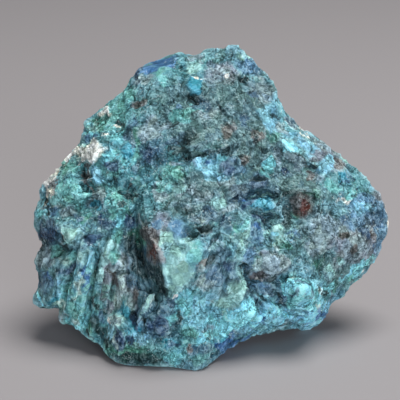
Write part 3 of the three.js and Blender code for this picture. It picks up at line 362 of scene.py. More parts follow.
# Narrow cuts in the best side: the points that each runs through, its half width and depth, millimetres.
seams = {
    "wedgeCrack": ([(-5.2, -16.4), (-0.6, -13.4), (2.6, -11.2), (4.8, -8.6)], 0.9, 1.5),
    "leftSlit": ([(-48, 16), (-46.6, 11), (-45.4, 6), (-44.4, 2)], 0.8, 1.4),
    "shortSlit": ([(-61.8, 1.2), (-61.4, -3), (-60.8, -7)], 0.8, 1.5),
    "facetStep": ([(33.4, 20.8), (38, 17.8), (42, 15.2), (46.4, 12.6)], 0.7, 1.1),
    "leftLedge": ([(-32, 3), (-28.6, 2), (-24.4, 1.6)], 0.9, 1.6),
    "crownPit": ([(-5.6, 42.4), (-3.2, 40.6), (-1, 38.4)], 0.9, 1.5),
    "faceCrack": ([(7, 39.2), (8.6, 36.4), (11, 33)], 0.9, 1.5),
    "crownNotch": ([(14, 49), (18.6, 46.4)], 0.9, 1.3),
    "cavityEdge": ([(34, 1.6), (39, 3), (45.6, 2.4)], 0.8, 1.3),
    "undercutEdge": ([(17.6, -24.6), (17.8, -30)], 0.8, 1.4),
    "lumpCleft": ([(-55.6, -14.6), (-53.6, -18)], 0.9, 1.4),
    "bossJoint": ([(28, -35), (32, -38.6), (36, -42.4)], 0.9, 1.3),
    "nodulePocket": ([(-22.6, -46), (-22.2, -52.4)], 0.8, 1.5),
    "footCrease": ([(20, -34), (26, -40), (38, -44)], 0.9, 1.5),
    "bossSide": ([(49.6, -35), (48.4, -40), (44, -43.6)], 0.9, 1.4),
    "cavityLeft": ([(33.6, 3.2), (33.6, -8.8)], 0.9, 1.6),
    "cavityFoot": ([(34, -9.6), (46, -8.8)], 0.8, 1.3),
    "underAlmond": ([(18.8, -4.8), (25, -5.4), (30.8, -6.8)], 0.9, 1.6),
    "underBlock": ([(17.6, -26), (21, -32), (28.8, -32)], 0.9, 1.6),
    "slabCreaseLeft": ([(6.8, -14), (2.4, -21), (-1, -31)], 0.8, 1.3),
    "slabCreaseRight": ([(15.4, -20), (15.4, -31)], 0.7, 1.2),
    "ribCreaseOne": ([(-44.8, -20), (-47, -32), (-50.4, -44.8)], 0.8, 1.5),
    "ribCreaseTwo": ([(-41.2, -26.8), (-43.4, -38), (-44.6, -48)], 0.8, 1.1),
    "flakeCrease": ([(-58, -32), (-57.2, -46)], 0.8, 1.4),
    "lensCrease": ([(-37, -27), (-38.6, -36), (-38.4, -45)], 0.8, 1.4),
    "bandCrease": ([(-28, -24.8), (-28, -42), (-23.2, -54)], 0.8, 1.4),
}

# Ribs, fins and lips that stand up from it, each with a sharp crest, given the same way.
ribs = {
    "mainRib": ([(-46.4, -18.8), (-48, -26), (-49.2, -32), (-51.2, -38.4), (-53.2, -44.8)], 2, 1.6),
    "secondRib": ([(-43.2, -18.8), (-44, -28), (-45.6, -36), (-48, -44.8)], 1.6, 1.3),
    "thirdRib": ([(-35.2, -16), (-38.8, -24.8), (-41.2, -34), (-42, -44), (-43.2, -54)], 1.8, 1.5),
    "lensRim": ([(-32.8, -24.8), (-35.8, -30), (-36.8, -36.8), (-35.2, -43.2), (-32, -47.2)], 1.3, 1),
    "flankEdge": ([(-21.2, -11.2), (-16.4, -18), (-14.4, -24.8), (-12.8, -34)], 1.4, 1.4),
    "fin": ([(-18.8, -37.2), (-21.2, -42), (-23.6, -47.2), (-24.4, -50.8)], 1, 1.6),
    "blueFin": ([(-32.8, -50.4), (-30.4, -56), (-31.6, -61.6)], 1, 1.4),
    "outerRib": ([(-62, -24), (-63, -32), (-65, -40)], 1.4, 1.1),
    "slashLip": ([(9.6, -0.6), (15, 2.6), (20, 5.4), (26, 7)], 1.2, 0.9),
    "almond": ([(19.4, -2), (24, -1), (29, -0.8)], 2.6, 1),
    "bossTop": ([(36.8, -33.2), (41.2, -35.2), (44, -39.2)], 2.2, 1.3),
    "blockTop": ([(22, -21.6), (27.2, -20), (32.8, -20.8)], 1.6, 1),
    "slabLeft": ([(3.2, -20), (1.6, -27.2), (0.8, -36)], 1.2, 0.9),
    "slabRight": ([(12.8, -19.2), (13.6, -24.8), (11.2, -32.8)], 1.2, 0.9),
    "rightThread": ([(56, -2), (60.8, 0.4), (64, 1.6)], 0.9, 0.7),
    "cavityRim": ([(36.4, 3.2), (43, 4.4), (48.4, 2)], 1.2, 0.9),
    "noduleTop": ([(-20, -46.4), (-16, -45), (-12, -47.2)], 1.2, 1),
}

# Lumps that stand out of it with a steep rim: right, up, half width, half height, turn, then the lift.
lumps = {
    "boss": ((41, -38, 9, 6.5, -15), 1.2),
    "foot": ((45, -46.6, 5.4, 3.2, 25), 1.2),
    "paleBlock": ((28, -24.4, 7.6, 5.6, 10), 0.9),
    "mintKnob": ((31, -14.6, 4.4, 4, 0), 0.7),
    "lowMint": ((14.6, -34.6, 4, 5, 10), 1),
    "roundLump": ((-51, -12.6, 5, 4.2, 0), 0.7),
    "nodule": ((-16.2, -50.6, 6, 4.6, 0), 1),
    "greySlab": ((7, -27, 5, 9.4, -14), 0.9),
    "skyStep": ((1.6, 13.6, 5, 3.6, 0), 1),
    "slateStep": ((12.4, 13, 5, 4, 0), 1),
    "shoulder": ((-53, 1.6, 6, 5, 0), 0.8),
    "greenStep": ((-10, 10.4, 5, 3, 0), 0.8),
    "lowerLip": ((18, -45.6, 7, 4.4, 10), 1.2),
    "lowerLipEnd": ((29, -46, 5, 3, 20), 1),
    "tealCrystal": ((-2.7, 45.8, 3, 3, 0), 0.9),
    "tip": ((68, -4, 7, 5, -20), 0.8),
    "creamBand": ((-43.4, 18.8, 6.4, 3.6, 28), 1),
    "paleStone": ((-37.8, 34.8, 2.4, 1.6, 15), 0.7),
    "brightFacet": ((35.6, 20.8, 4.4, 2.2, -40), 0.8),
    "crownKnob": ((9.6, 51, 5, 3.4, -30), 0.9),
}

# The stone's surface, millimetres.
surface = {
    "mergeDistance": 0.001,
    "seenCuts": 5,  # how many times each edge of the broken faces is cut, on the best side and elsewhere
    "hiddenCuts": 2,
    "seenFacing": 0.3,  # the best side is what faces the eye and is this near to it
    "seenNear": -8,
    "soften": 2,  # rounds of smoothing that take the facets out
    "chips": [  # flat faces that tilt every way: size, tilt, step between them
        (9.5, 0.15, 0.4),
        (4.4, 0.24, 0.26),
        (2.2, 0.36, 0.18),
        (1.2, 0.4, 0.1),
    ],
    "chipContrast": 1.6,
    "cragSpacing": 7.5,
    "cragHeight": 0.15,
    "smoothShare": 0.3,  # how much relief is left where it broke smooth
    "fibrousCalm": 0.6,  # how much of the chips and crags is lost where it is fibrous
    "fibreWidth": 1.5,
    "fibreLength": 11,
    "fibreHeight": 0.75,
    "fibreWander": 1.4,
    "fineFibres": 0.7,
    "seamWander": 0.7,
    "wanderSpacing": 3,
    "seamShare": 0.6,  # how much of each seam's depth is cut
    "seenRange": (-15, -9),  # near of the line where the best side begins and where it is full
    "chipPull": 0.65,  # how far a lump or a mineral gives way to the rims of chips
    "chipWarp": 2.6,
    "warpSpacing": 4.5,
    "tableFade": 2.5,  # nothing is raised this close to the table
    "hollowRounds": 5,
    "finerShare": 0.45,  # on the hidden side the minerals' places also vary at a finer spacing
    "finerBy": 2.7,
    "hiddenEdge": 3,
    "seed": 11.7,
    "tiltSeed": 3,  # the tilts of the chips are drawn from it
}
# Faces that broke smooth: right, up, radius.
smoothFaces = [
    (-17, 53.6, 6), (-2.6, 46, 3.4), (36, 21, 4), (-1.6, -21, 5),
    (-9, -12, 4.6), (-16, -9, 3), (-9, -27, 8),
]
# Where the stone is fibrous, and which way the fibres run in the eye's plane.
fibreFields = [
    {"patch": (-46, -34, 20, 20, 0), "run": (-0.29, -0.96)},
    {"patch": (6, -30, 8, 11, -20), "run": (-0.36, -0.93)},
    {"patch": (-24, -26, 6, 14, 5), "run": (0.06, -1.0)},
]
fibreRuns = [(field["run"][0], *(upInView * field["run"][1])[1:]) for field in fibreFields]


def patchWeight(right, up, patch):  # 1 in its middle, a half at its rim, then fading out
    centreRight, centreUp, halfWidth, halfHeight, turn = patch
    angle = math.radians(turn)
    over, rise = right - centreRight, up - centreUp
    along = (over * math.cos(angle) + rise * math.sin(angle)) / halfWidth
    across = (rise * math.cos(angle) - over * math.sin(angle)) / halfHeight
    return np.clip(1.5 - np.hypot(along, across), 0, 1)


def patchesWeight(right, up, places):
    return np.max([patchWeight(right, up, patch) for patch in places], axis=0)


def noiseAt(points, spacing, shift):
    scaled = points / spacing + shift
    return np.array([noise.noise(Vector(p)) for p in scaled])


def seamDistance(right, up, route):  # how far each point is from a seam's line
    nearest = np.full(len(right), 1e6)
    for (startRight, startUp), (endRight, endUp) in zip(route, route[1:]):
        runRight, runUp = endRight - startRight, endUp - startUp
        share = ((right - startRight) * runRight + (up - startUp) * runUp) / (runRight ** 2 + runUp ** 2)
        share = np.clip(share, 0, 1)
        gap = np.hypot(right - startRight - share * runRight, up - startUp - share * runUp)
        nearest = np.minimum(nearest, gap)
    return nearest


def cragsAt(points):  # ridged relief of broken rock, about -1 to 1
    scaled = points / surface["cragSpacing"] + surface["seed"]
    return np.array([noise.ridged_multi_fractal(Vector(p), 0.9, 2.1, 4, 1.0, 2.0) for p in scaled]) - 1.1


def chipsAt(points, size, tilt, step):  # height, tone and middle of the chip that each point is on
    scaled = points / size + surface["seed"] * size
    centres = np.array([noise.voronoi(Vector(p))[1][0] for p in scaled])
    slopes = np.array([noise.noise_vector(Vector(c) * 7.3) for c in centres])
    levels = np.array([noise.noise(Vector(c) * 5.9 + Vector((3, 1, 7))) for c in centres])
    height = np.einsum("ij,ij->i", scaled - centres, slopes) * size * tilt + step * levels
    tone = np.clip(levels * surface["chipContrast"], -1, 1)
    return height, tone, (centres - surface["seed"] * size) * size


def fibresAt(points, right, up):  # ridges along the fibres, and how fibrous each point is in each field
    height = np.zeros(len(points))
    shares = []
    for number, field in enumerate(fibreFields):
        weight = smoothStep(0.1, 0.7, patchWeight(right, up, field["patch"]))
        runRight, runUp = field["run"]
        wander = surface["fibreWander"] * noiseAt(points, 9, surface["seed"] + number)
        across = right * -runUp + up * runRight + wander
        along = right * runRight + up * runUp
        stretched = np.column_stack(
            (across / surface["fibreWidth"], along / surface["fibreLength"], 0 * along))
        wide = 1 - 2 * np.abs(noiseAt(stretched, 2.2, number + 0.5))
        fine = noiseAt(stretched, 1, number + 4.5)
        height += weight * (wide + surface["fineFibres"] * fine - 0.5)
        shares.append(weight)
    return height, shares


# Lumps and minerals end at the rims of chips: each point takes a place between it and its chip's middle.
def placesAcross(points, chipMiddle):
    shifts = (20, 30, 40)
    warp = np.column_stack([noiseAt(points, surface["warpSpacing"], shift) for shift in shifts])
    pull = surface["chipPull"]
    return (1 - pull) * points + pull * chipMiddle + warp * surface["chipWarp"]


def arraysOf(mesh):
    points = np.array([v.co for v in mesh.verts]) / millimetre
    normals = np.array([v.normal for v in mesh.verts])
    return points, normals


def hollowness(mesh, points, normals, rounds):  # how deep each point lies under the mean of those around it
    pairs = np.array([(e.verts[0].index, e.verts[1].index) for e in mesh.edges])
    count = np.bincount(pairs.ravel(), minlength=len(points))[:, None]
    mean = points.copy()
    for _ in range(rounds):
        total = np.zeros_like(mean)
        np.add.at(total, pairs[:, 0], mean[pairs[:, 1]])
        np.add.at(total, pairs[:, 1], mean[pairs[:, 0]])
        mean = total / count
    return np.einsum("ij,ij->i", mean - points, normals)


def makeStone(source):
    noise.seed_set(surface["tiltSeed"])
    mesh = bmesh.new()
    mesh.from_mesh(source.data)
    bmesh.ops.remove_doubles(mesh, verts=mesh.verts, dist=surface["mergeDistance"] * millimetre)
    mesh.normal_update()
    mesh.verts.index_update()
    places = np.array([v.co for v in mesh.verts]) / millimetre
    facing = np.array([v.normal for v in mesh.verts]) @ towardsEye
    inView = (facing > surface["seenFacing"]) & (seenFrom(places)[2] > surface["seenNear"])
    mesh.verts.ensure_lookup_table()
    closeEdges = [e for e in mesh.edges if inView[e.verts[0].index] and inView[e.verts[1].index]]
    otherEdges = [e for e in mesh.edges if not (inView[e.verts[0].index] and inView[e.verts[1].index])]
    bmesh.ops.subdivide_edges(mesh, edges=closeEdges, cuts=surface["seenCuts"], use_grid_fill=True)
    otherEdges = [e for e in otherEdges if e.is_valid]
    bmesh.ops.subdivide_edges(mesh, edges=otherEdges, cuts=surface["hiddenCuts"], use_grid_fill=True)
    bmesh.ops.triangulate(mesh, faces=mesh.faces)
    for _ in range(surface["soften"]):
        raised = [v for v in mesh.verts if v.co.z > 0.0005]
        bmesh.ops.smooth_vert(
            mesh, verts=raised, factor=0.5, use_axis_x=True, use_axis_y=True, use_axis_z=True)
    mesh.normal_update()
    mesh.verts.index_update()
    points, normals = arraysOf(mesh)
    right, up, near = seenFrom(points)
    print("stone subdivided:", len(mesh.verts), "points,", len(mesh.faces), "faces")

    seen = smoothStep(*surface["seenRange"], near)
    smooth = np.zeros(len(points))
    for faceRight, faceUp, radius in smoothFaces:
        gap = np.hypot(right - faceRight, up - faceUp) / radius
        smooth = np.maximum(smooth, 1 - smoothStep(0.7, 1.2, gap))
    rough = 1 - (1 - surface["smoothShare"]) * smooth * seen
    fibreHeight, fibreShares = fibresAt(points, right, up)
    fibrous = np.max(fibreShares, axis=0) * seen
    calm = 1 - surface["fibrousCalm"] * fibrous
    height = surface["cragHeight"] * cragsAt(points) * rough * calm
    chipTone = np.zeros(len(points))
    for size, tilt, step in surface["chips"]:
        chipHeight, tone, chipMiddle = chipsAt(points, size, tilt, step)
        height += chipHeight * rough * calm
        chipTone += tone
    height += surface["fibreHeight"] * fibreHeight * seen
    wander = surface["seamWander"] * noiseAt(points, surface["wanderSpacing"], 2.5)
    for route, halfWidth, depth in seams.values():
        gap = seamDistance(right, up, route) + wander
        wall = 1 - smoothStep(0.1 * halfWidth, 1.2 * halfWidth, gap)
        height -= surface["seamShare"] * depth * wall * seen
    brokenRight, brokenUp, _ = seenFrom(placesAcross(points, chipMiddle))
    for patch, lift in lumps.values():
        height += lift * smoothStep(0.3, 0.8, patchWeight(brokenRight, brokenUp, patch)) * seen
    for route, halfWidth, lift in ribs.values():
        gap = np.abs(seamDistance(right, up, route) + wander)
        height += lift * np.clip(1 - gap / halfWidth, 0, 1) * seen
    height *= smoothStep(0.2, surface["tableFade"], points[:, 2])
    lowest, highest = np.array(cadBox) / millimetre
    moved = points + normals * height[:, None]
    moved = np.clip(moved, lowest - np.array((1, 1, 0)), highest + 1)
    for vertex, place in zip(mesh.verts, moved):
        vertex.co = place * millimetre
    mesh.normal_update()
    print("relief raised, from", round(float(height.min()), 2), "to", round(float(height.max()), 2), "mm")

    points, normals = arraysOf(mesh)
    # How deep each point lies in a hollow; the crust paints shade from it.
    hollow = hollowness(mesh, points, normals, surface["hollowRounds"])
    weights = {"hollow": hollow, "chipTone": chipTone, "rough": rough}
    for number, share in enumerate(fibreShares):
        weights["fibrous" + str(number)] = share * seen
    places = placesAcross(points, chipMiddle)
    placeRight, placeUp, _ = seenFrom(places)
    for number, (mineral, look) in enumerate(minerals.items()):
        field = noiseAt(places, look["spacing"], surface["seed"] * (number + 2))
        finer = noiseAt(places, look["spacing"] / surface["finerBy"], surface["seed"] * (number + 3))
        field += surface["finerShare"] * finer
        level = np.quantile(field, 1 - look["share"])
        hidden = np.clip(0.5 + (field - level) * surface["hiddenEdge"], 0, 1)
        best = patchesWeight(placeRight, placeUp, patches[mineral])
        weights[mineral] = best * seen + hidden * (1 - seen)
    data = bpy.data.meshes.new("chrysocollaLump")
    mesh.to_mesh(data)
    mesh.free()
    for name, values in weights.items():
        attribute = data.attributes.new(name, "FLOAT", "POINT")
        attribute.data.foreach_set("value", values.astype(np.float32))
    data.shade_flat()
    stone = bpy.data.objects.new("chrysocolla_lump", data)
    bpy.context.scene.collection.objects.link(stone)
    return stone


stone = makeStone(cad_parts["chrysocolla_stone"])
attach(stone, "root")
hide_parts("chrysocolla_stone")
print("stone modelled")


def linear(colour):  # a tone of 0 to 255 as the shader wants it
    share = [c / 255 for c in colour]
    return tuple(c / 12.92 if c <= 0.04045 else ((c + 0.055) / 1.055) ** 2.4 for c in share) + (1,)


def socketGroup(name, inputs, outputs):
    group = bpy.data.node_groups.new(name, "ShaderNodeTree")
    for label, kind in inputs:
        group.interface.new_socket(name=label, in_out="INPUT", socket_type=kind)
    for label, kind in outputs:
        group.interface.new_socket(name=label, in_out="OUTPUT", socket_type=kind)
    return group, group.nodes.new("NodeGroupInput"), group.nodes.new("NodeGroupOutput")


def mathNode(nodes, links, operation, first, second, clamp=False):
    node = nodes.new("ShaderNodeMath")
    node.operation = operation
    node.use_clamp = clamp
    for socket, value in zip(node.inputs, (first, second)):
        if isinstance(value, (int, float)):
            socket.default_value = value
        else:
            links.new(value, socket)
    return node.outputs[0]


def vectorNode(nodes, links, operation, *values):
    node = nodes.new("ShaderNodeVectorMath")
    node.operation = operation
    for socket, value in zip(node.inputs, values):
        if isinstance(value, (tuple, list)):
            socket.default_value = value
        else:
            links.new(value, socket)
    return node


def mixColour(nodes, links, share, under, over, blend="MIX"):
    node = nodes.new("ShaderNodeMix")
    node.data_type = "RGBA"
    node.blend_type = blend
    for socket, value in ((node.inputs[0], share), (node.inputs[6], under), (node.inputs[7], over)):
        if isinstance(value, (int, float, tuple)):
            socket.default_value = value
        else:
            links.new(value, socket)
    return node.outputs[2]


def noiseTexture(nodes, links, vector, spacing, detail, roughness=0.6, swirl=0):  # spacing in millimetres
    node = nodes.new("ShaderNodeTexNoise")
    node.inputs["Distortion"].default_value = swirl
    node.inputs["Scale"].default_value = 1 / (spacing * millimetre)
    node.inputs["Detail"].default_value = detail
    node.inputs["Roughness"].default_value = roughness
    links.new(vector, node.inputs["Vector"])
    return node.outputs["Fac"]


def rangeNode(nodes, links, value, low, high, toLow=0.0, toHigh=1.0, smooth=True):
    node = nodes.new("ShaderNodeMapRange")
    node.interpolation_type = "SMOOTHSTEP" if smooth else "LINEAR"
    links.new(value, node.inputs["Value"])
    node.inputs["From Min"].default_value = low
    node.inputs["From Max"].default_value = high
    node.inputs["To Min"].default_value = toLow
    node.inputs["To Max"].default_value = toHigh
    return node.outputs["Result"]


def makeLayerGroup():  # one mineral over what lies under it, with a ragged edge
    group, inside, outside = socketGroup(
        "mineralLayer",
        [("Under", "NodeSocketColor"), ("Weight", "NodeSocketFloat"), ("Ragged", "NodeSocketFloat"),
         ("Tone", "NodeSocketColor"), ("Cover", "NodeSocketFloat")],
        [("Colour", "NodeSocketColor")],
    )
    nodes, links = group.nodes, group.links
    edge = mathNode(nodes, links, "ADD", inside.outputs["Weight"], inside.outputs["Ragged"])
    laid = rangeNode(nodes, links, edge, 0.25, 0.8)
    share = mathNode(nodes, links, "MULTIPLY", laid, inside.outputs["Cover"])
    colour = mixColour(nodes, links, share, inside.outputs["Under"], inside.outputs["Tone"])
    links.new(colour, outside.inputs["Colour"])
    return group


def makeGrainGroup():  # angular grains: a tone and a hue for each, and a flat top that tilts its own way
    group, inside, outside = socketGroup(
        "angularGrain",
        [("Place", "NodeSocketVector"), ("Scale", "NodeSocketFloat")],
        [("Tone", "NodeSocketFloat"), ("Hue", "NodeSocketFloat"), ("Height", "NodeSocketFloat")],
    )
    nodes, links = group.nodes, group.links
    cells = nodes.new("ShaderNodeTexVoronoi")
    links.new(inside.outputs["Place"], cells.inputs["Vector"])
    links.new(inside.outputs["Scale"], cells.inputs["Scale"])
    offset = vectorNode(nodes, links, "SUBTRACT", inside.outputs["Place"], cells.outputs["Position"])
    slope = vectorNode(nodes, links, "SUBTRACT", cells.outputs["Color"], (0.5, 0.5, 0.5))
    rise = vectorNode(nodes, links, "DOT_PRODUCT", offset.outputs[0], slope.outputs[0])
    parts = nodes.new("ShaderNodeSeparateColor")
    links.new(cells.outputs["Color"], parts.inputs["Color"])
    links.new(parts.outputs["Red"], outside.inputs["Tone"])
    links.new(parts.outputs["Green"], outside.inputs["Hue"])
    links.new(rise.outputs["Value"], outside.inputs["Height"])
    return group


# The finish of the crust. Sizes are in millimetres.
finish = {
    "crustTone": (110, 158, 169),
    "grains": [  # size, how much its tone varies, how steep its grains are
        (3.6, 0.5, 0.35),
        (1.6, 0.5, 0.5),
    ],
    "swirlSpacing": 2.2,  # streaks that curl through the crust
    "swirl": 1.3,
    "swirlTone": 1.1,
    "swirlHeight": 0.5,
    "chipSize": 5,  # in each chip the flakes lie another way
    "flakeSpacing": 1.7,
    "flakeStretch": (1, 0.75, 0.28),
    "flakeTone": 3.0,
    "flakeHeight": 0.9,
    "streakSpacing": 1.1,  # and straight ones where it is fibrous
    "streakStretch": 0.86,
    "streakTone": 3.2,
    "flakesOnFibres": 0.6,
    "bendSpacing": 2.4,  # the grains' edges are bent by this noise
    "bend": 0.9,
    "dustSpacing": 0.9,
    "dustiness": 2.7,
    "blotchSpacing": 6,
    "blotchiness": 0.6,
    "coarseSpacing": 7,  # some chips are coarse and some smooth
    "coarseRange": (0.5, 1.35),
    "chipTone": 0.1,
    "hollowShadeTone": -1.0,  # painted shade: how much darker it is for each millimetre of depth
    "darkFrom": (0.2, -1.0),  # the tones where the pits begin and are full
    "lightFrom": (0.0, 1.1),
    "raggedSpacing": 1.8,
    "raggedness": 0.3,
    "crackSpacing": 5.2,
    "crackWidth": 0.2,
    "crackDepth": 0.25,
    "crackShare": 0.8,
    "threadSpacing": 2.6,
    "threadWidth": 0.016,
    "threadShare": 0.6,
    "bluer": (0.9, 0.98, 1.08),
    "greener": (1.0, 1.03, 0.94),
    "deepest": (0.14, 0.2, 0.19),  # what is left of red, green and blue in the pits
    "lightGain": 1.9,  # how much lighter the tips of the grains are
    "tipTone": (214, 238, 240),
    "tipShare": 0.25,
    "roughest": 0.92,
    "glossiest": 0.5,
}


def makeCrust():
    material = bpy.data.materials.new("chrysocollaCrust")
    material.use_nodes = True
    nodes, links = material.node_tree.nodes, material.node_tree.links
    nodes.clear()
    output = nodes.new("ShaderNodeOutputMaterial")
    shader = nodes.new("ShaderNodeBsdfPrincipled")
    links.new(shader.outputs["BSDF"], output.inputs["Surface"])
    place = nodes.new("ShaderNodeTexCoord").outputs["Object"]

    def attribute(name):
        node = nodes.new("ShaderNodeAttribute")
        node.attribute_name = name
        return node.outputs["Fac"]

    def scaled(value, gain, middleValue=0.5):
        centred = mathNode(nodes, links, "SUBTRACT", value, middleValue)
        return mathNode(nodes, links, "MULTIPLY", centred, gain)

    def product(first, second):
        return mathNode(nodes, links, "MULTIPLY", first, second)

    def streaksAlong(run):  # the pattern drawn out along the fibres
        along = vectorNode(nodes, links, "DOT_PRODUCT", place, run)
        back = vectorNode(nodes, links, "SCALE", [-c * finish["streakStretch"] for c in run])
        links.new(along.outputs["Value"], back.inputs["Scale"])
        drawn = vectorNode(nodes, links, "ADD", place, back.outputs[0])
        return noiseTexture(nodes, links, drawn.outputs[0], finish["streakSpacing"], 3, 0.65)

    def flakesIn(vector):  # thin flakes that lie another way in each chip
        cells = nodes.new("ShaderNodeTexVoronoi")
        cells.inputs["Scale"].default_value = 1 / (finish["chipSize"] * millimetre)
        links.new(vector, cells.inputs["Vector"])
        axis = vectorNode(nodes, links, "SUBTRACT", cells.outputs["Color"], (0.5, 0.5, 0.5))
        parts = nodes.new("ShaderNodeSeparateColor")
        links.new(cells.outputs["Color"], parts.inputs["Color"])
        turned = nodes.new("ShaderNodeVectorRotate")
        links.new(vector, turned.inputs["Vector"])
        links.new(axis.outputs[0], turned.inputs["Axis"])
        links.new(product(parts.outputs["Blue"], 2 * math.pi), turned.inputs["Angle"])
        drawn = vectorNode(nodes, links, "MULTIPLY", turned.outputs[0], finish["flakeStretch"])
        return noiseTexture(nodes, links, drawn.outputs[0], finish["flakeSpacing"], 4, 0.68)

    def summed(values):
        total = values[0]
        for value in values[1:]:
            total = mathNode(nodes, links, "ADD", total, value)
        return total

    bendNoise = nodes.new("ShaderNodeTexNoise")
    bendNoise.inputs["Scale"].default_value = 1 / (finish["bendSpacing"] * millimetre)
    bendNoise.inputs["Detail"].default_value = 2
    links.new(place, bendNoise.inputs["Vector"])
    bendSize = (finish["bend"] * millimetre,) * 3
    bend = vectorNode(nodes, links, "MULTIPLY_ADD", bendNoise.outputs["Color"], bendSize, place)
    bent = bend.outputs[0]

    grainGroup = makeGrainGroup()
    tones = []
    heights = []
    hues = []
    for size, contrast, steepness in finish["grains"]:
        grain = nodes.new("ShaderNodeGroup")
        grain.node_tree = grainGroup
        links.new(bent, grain.inputs["Place"])
        grain.inputs["Scale"].default_value = 1 / (size * millimetre)
        tones.append(scaled(grain.outputs["Tone"], contrast))
        hues.append(grain.outputs["Hue"])
        heights.append(product(grain.outputs["Height"], steepness))
    dust = noiseTexture(nodes, links, place, finish["dustSpacing"], 2)
    swirl = noiseTexture(nodes, links, place, finish["swirlSpacing"], 5, 0.72, finish["swirl"])
    heights.append(product(scaled(swirl, finish["swirlHeight"]), millimetre))
    flakes = flakesIn(bent)
    heights.append(product(scaled(flakes, finish["flakeHeight"]), millimetre))
    fibrous = [attribute("fibrous" + str(number)) for number in range(len(fibreRuns))]
    streakTones = [
        product(scaled(streaksAlong(run), finish["streakTone"]), share)
        for run, share in zip(fibreRuns, fibrous)
    ]
    blotch = noiseTexture(nodes, links, place, finish["blotchSpacing"], 4, 0.65)
    ragged = noiseTexture(nodes, links, place, finish["raggedSpacing"], 4, 0.7)
    ragged = scaled(ragged, 2 * finish["raggedness"])
    rough = attribute("rough")

    colour = linear(finish["crustTone"])
    layerGroup = makeLayerGroup()
    for name, look in minerals.items():
        layer = nodes.new("ShaderNodeGroup")
        layer.node_tree = layerGroup
        if isinstance(colour, tuple):
            layer.inputs["Under"].default_value = colour
        else:
            links.new(colour, layer.inputs["Under"])
        links.new(attribute(name), layer.inputs["Weight"])
        links.new(ragged, layer.inputs["Ragged"])
        layer.inputs["Tone"].default_value = linear(look["tone"])
        layer.inputs["Cover"].default_value = look["cover"]
        colour = layer.outputs["Colour"]
    tint = mixColour(nodes, links, hues[0], finish["bluer"] + (1,), finish["greener"] + (1,))
    colour = mixColour(nodes, links, 1.0, colour, tint, "MULTIPLY")

    # Tone: light on the grains and edges, dark between them, and painted shade in the hollows.
    fine = summed([
        tones[1],
        scaled(swirl, finish["swirlTone"]),
        scaled(flakes, finish["flakeTone"]),
        scaled(dust, finish["dustiness"]),
    ])
    coarse = noiseTexture(nodes, links, place, finish["coarseSpacing"], 2)
    coarse = rangeNode(nodes, links, coarse, 0.36, 0.64, *finish["coarseRange"])
    uneven = rangeNode(nodes, links, summed(fibrous), 0.0, 1.0, 1.0, finish["flakesOnFibres"])
    fine = summed([product(product(product(rough, uneven), coarse), fine)] + streakTones)
    tone = summed([
        tones[0],
        fine,
        scaled(blotch, finish["blotchiness"]),
        scaled(attribute("chipTone"), finish["chipTone"], 0.0),
        # painted shade: darker the deeper the point lies in a hollow
        scaled(attribute("hollow"), finish["hollowShadeTone"], 0.0),
    ])
    deep = mixColour(nodes, links, 1.0, colour, finish["deepest"] + (1,), "MULTIPLY")
    lighter = mixColour(nodes, links, 1.0, colour, (finish["lightGain"],) * 3 + (1,), "MULTIPLY")
    lighter = mixColour(nodes, links, finish["tipShare"], lighter, linear(finish["tipTone"]))
    pits = rangeNode(nodes, links, tone, *finish["darkFrom"], smooth=False)
    colour = mixColour(nodes, links, pits, colour, deep)
    tips = rangeNode(nodes, links, tone, *finish["lightFrom"], smooth=False)
    colour = mixColour(nodes, links, tips, colour, lighter)

    # Thin dark cracks and pale threads, each where another noise lets them through.
    cells = nodes.new("ShaderNodeTexVoronoi")
    cells.feature = "DISTANCE_TO_EDGE"
    cells.inputs["Scale"].default_value = 1 / (finish["crackSpacing"] * millimetre)
    links.new(bent, cells.inputs["Vector"])
    crackEdge = finish["crackWidth"] / finish["crackSpacing"]
    crack = rangeNode(nodes, links, cells.outputs["Distance"], crackEdge, 0.0)
    crack = product(product(crack, rough), rangeNode(nodes, links, blotch, 0.56, 0.44))
    colour = mixColour(nodes, links, product(crack, finish["crackShare"]), colour, deep)
    lines = noiseTexture(nodes, links, place, finish["threadSpacing"], 2, 0.5)
    offLine = mathNode(nodes, links, "SUBTRACT", lines, 0.5)
    offLine = mathNode(nodes, links, "ABSOLUTE", offLine, 0.0)
    thread = rangeNode(nodes, links, offLine, finish["threadWidth"], 0.0)
    thread = product(thread, rangeNode(nodes, links, blotch, 0.46, 0.56))
    thread = product(thread, finish["threadShare"])
    colour = mixColour(nodes, links, thread, colour, linear(finish["tipTone"]))
    links.new(colour, shader.inputs["Base Color"])

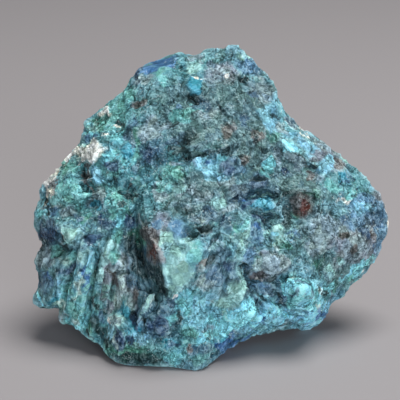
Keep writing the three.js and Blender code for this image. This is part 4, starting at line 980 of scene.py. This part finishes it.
    gloss = mathNode(nodes, links, "MAXIMUM", attribute("cobalt"), attribute("navy"))
    dullness = rangeNode(nodes, links, gloss, 0.3, 0.8, finish["roughest"], finish["glossiest"])
    links.new(dullness, shader.inputs["Roughness"])
    relief = product(summed(heights), rough)
    crackHeight = product(crack, finish["crackDepth"] * millimetre)
    relief = mathNode(nodes, links, "SUBTRACT", relief, crackHeight)
    bump = nodes.new("ShaderNodeBump")
    bump.inputs["Strength"].default_value = 1
    bump.inputs["Distance"].default_value = 1
    links.new(relief, bump.inputs["Height"])
    links.new(bump.outputs["Normal"], shader.inputs["Normal"])
    shader.inputs["Specular IOR Level"].default_value = 0.3
    return material


stone.data.materials.append(makeCrust())
print("crust finished")

# The table and the light.
studio = {
    "tableSize": 3.0,
    "tableTone": (156, 153, 156),
    "tableDrop": 0.0002,
    "tableRoughness": 0.9,
    "worldTone": (232, 234, 240),
    "worldStrength": 0.16,
}
lamps = {  # place in metres, width of the softbox, power in watts
    "above": {"place": (0.35, 0.0, 1.8), "size": 1.2, "power": 36, "tone": (255, 252, 248)},
    "front": {"place": (0.42, -1.76, 0.26), "size": 1.1, "power": 26, "tone": (248, 250, 255)},
}


def makeTable():
    mesh = bmesh.new()
    bmesh.ops.create_grid(mesh, x_segments=1, y_segments=1, size=studio["tableSize"] / 2)
    bmesh.ops.translate(mesh, verts=mesh.verts, vec=(0, 0, -studio["tableDrop"]))
    data = bpy.data.meshes.new("table")
    mesh.to_mesh(data)
    mesh.free()
    table = bpy.data.objects.new("table", data)
    bpy.context.scene.collection.objects.link(table)
    material = bpy.data.materials.new("paleTable")
    material.use_nodes = True
    shader = material.node_tree.nodes["Principled BSDF"]
    shader.inputs["Base Color"].default_value = linear(studio["tableTone"])
    shader.inputs["Roughness"].default_value = studio["tableRoughness"]
    data.materials.append(material)


def makeLight():
    for name, lamp in lamps.items():
        data = bpy.data.lights.new(name, "AREA")
        data.shape = "DISK"
        data.size = lamp["size"]
        data.energy = lamp["power"]
        data.color = linear(lamp["tone"])[:3]
        light = bpy.data.objects.new(name, data)
        bpy.context.scene.collection.objects.link(light)
        light.location = lamp["place"]
        aim = Vector(middle * millimetre) - light.location
        light.rotation_euler = aim.to_track_quat("-Z", "Y").to_euler()
    world = bpy.data.worlds.new("studio")
    world.use_nodes = True
    sky = world.node_tree.nodes["Background"]
    sky.inputs["Color"].default_value = linear(studio["worldTone"])
    sky.inputs["Strength"].default_value = studio["worldStrength"]
    bpy.context.scene.world = world
    bpy.context.scene.view_settings.view_transform = "Standard"


makeTable()
makeLight()
print("studio lit")
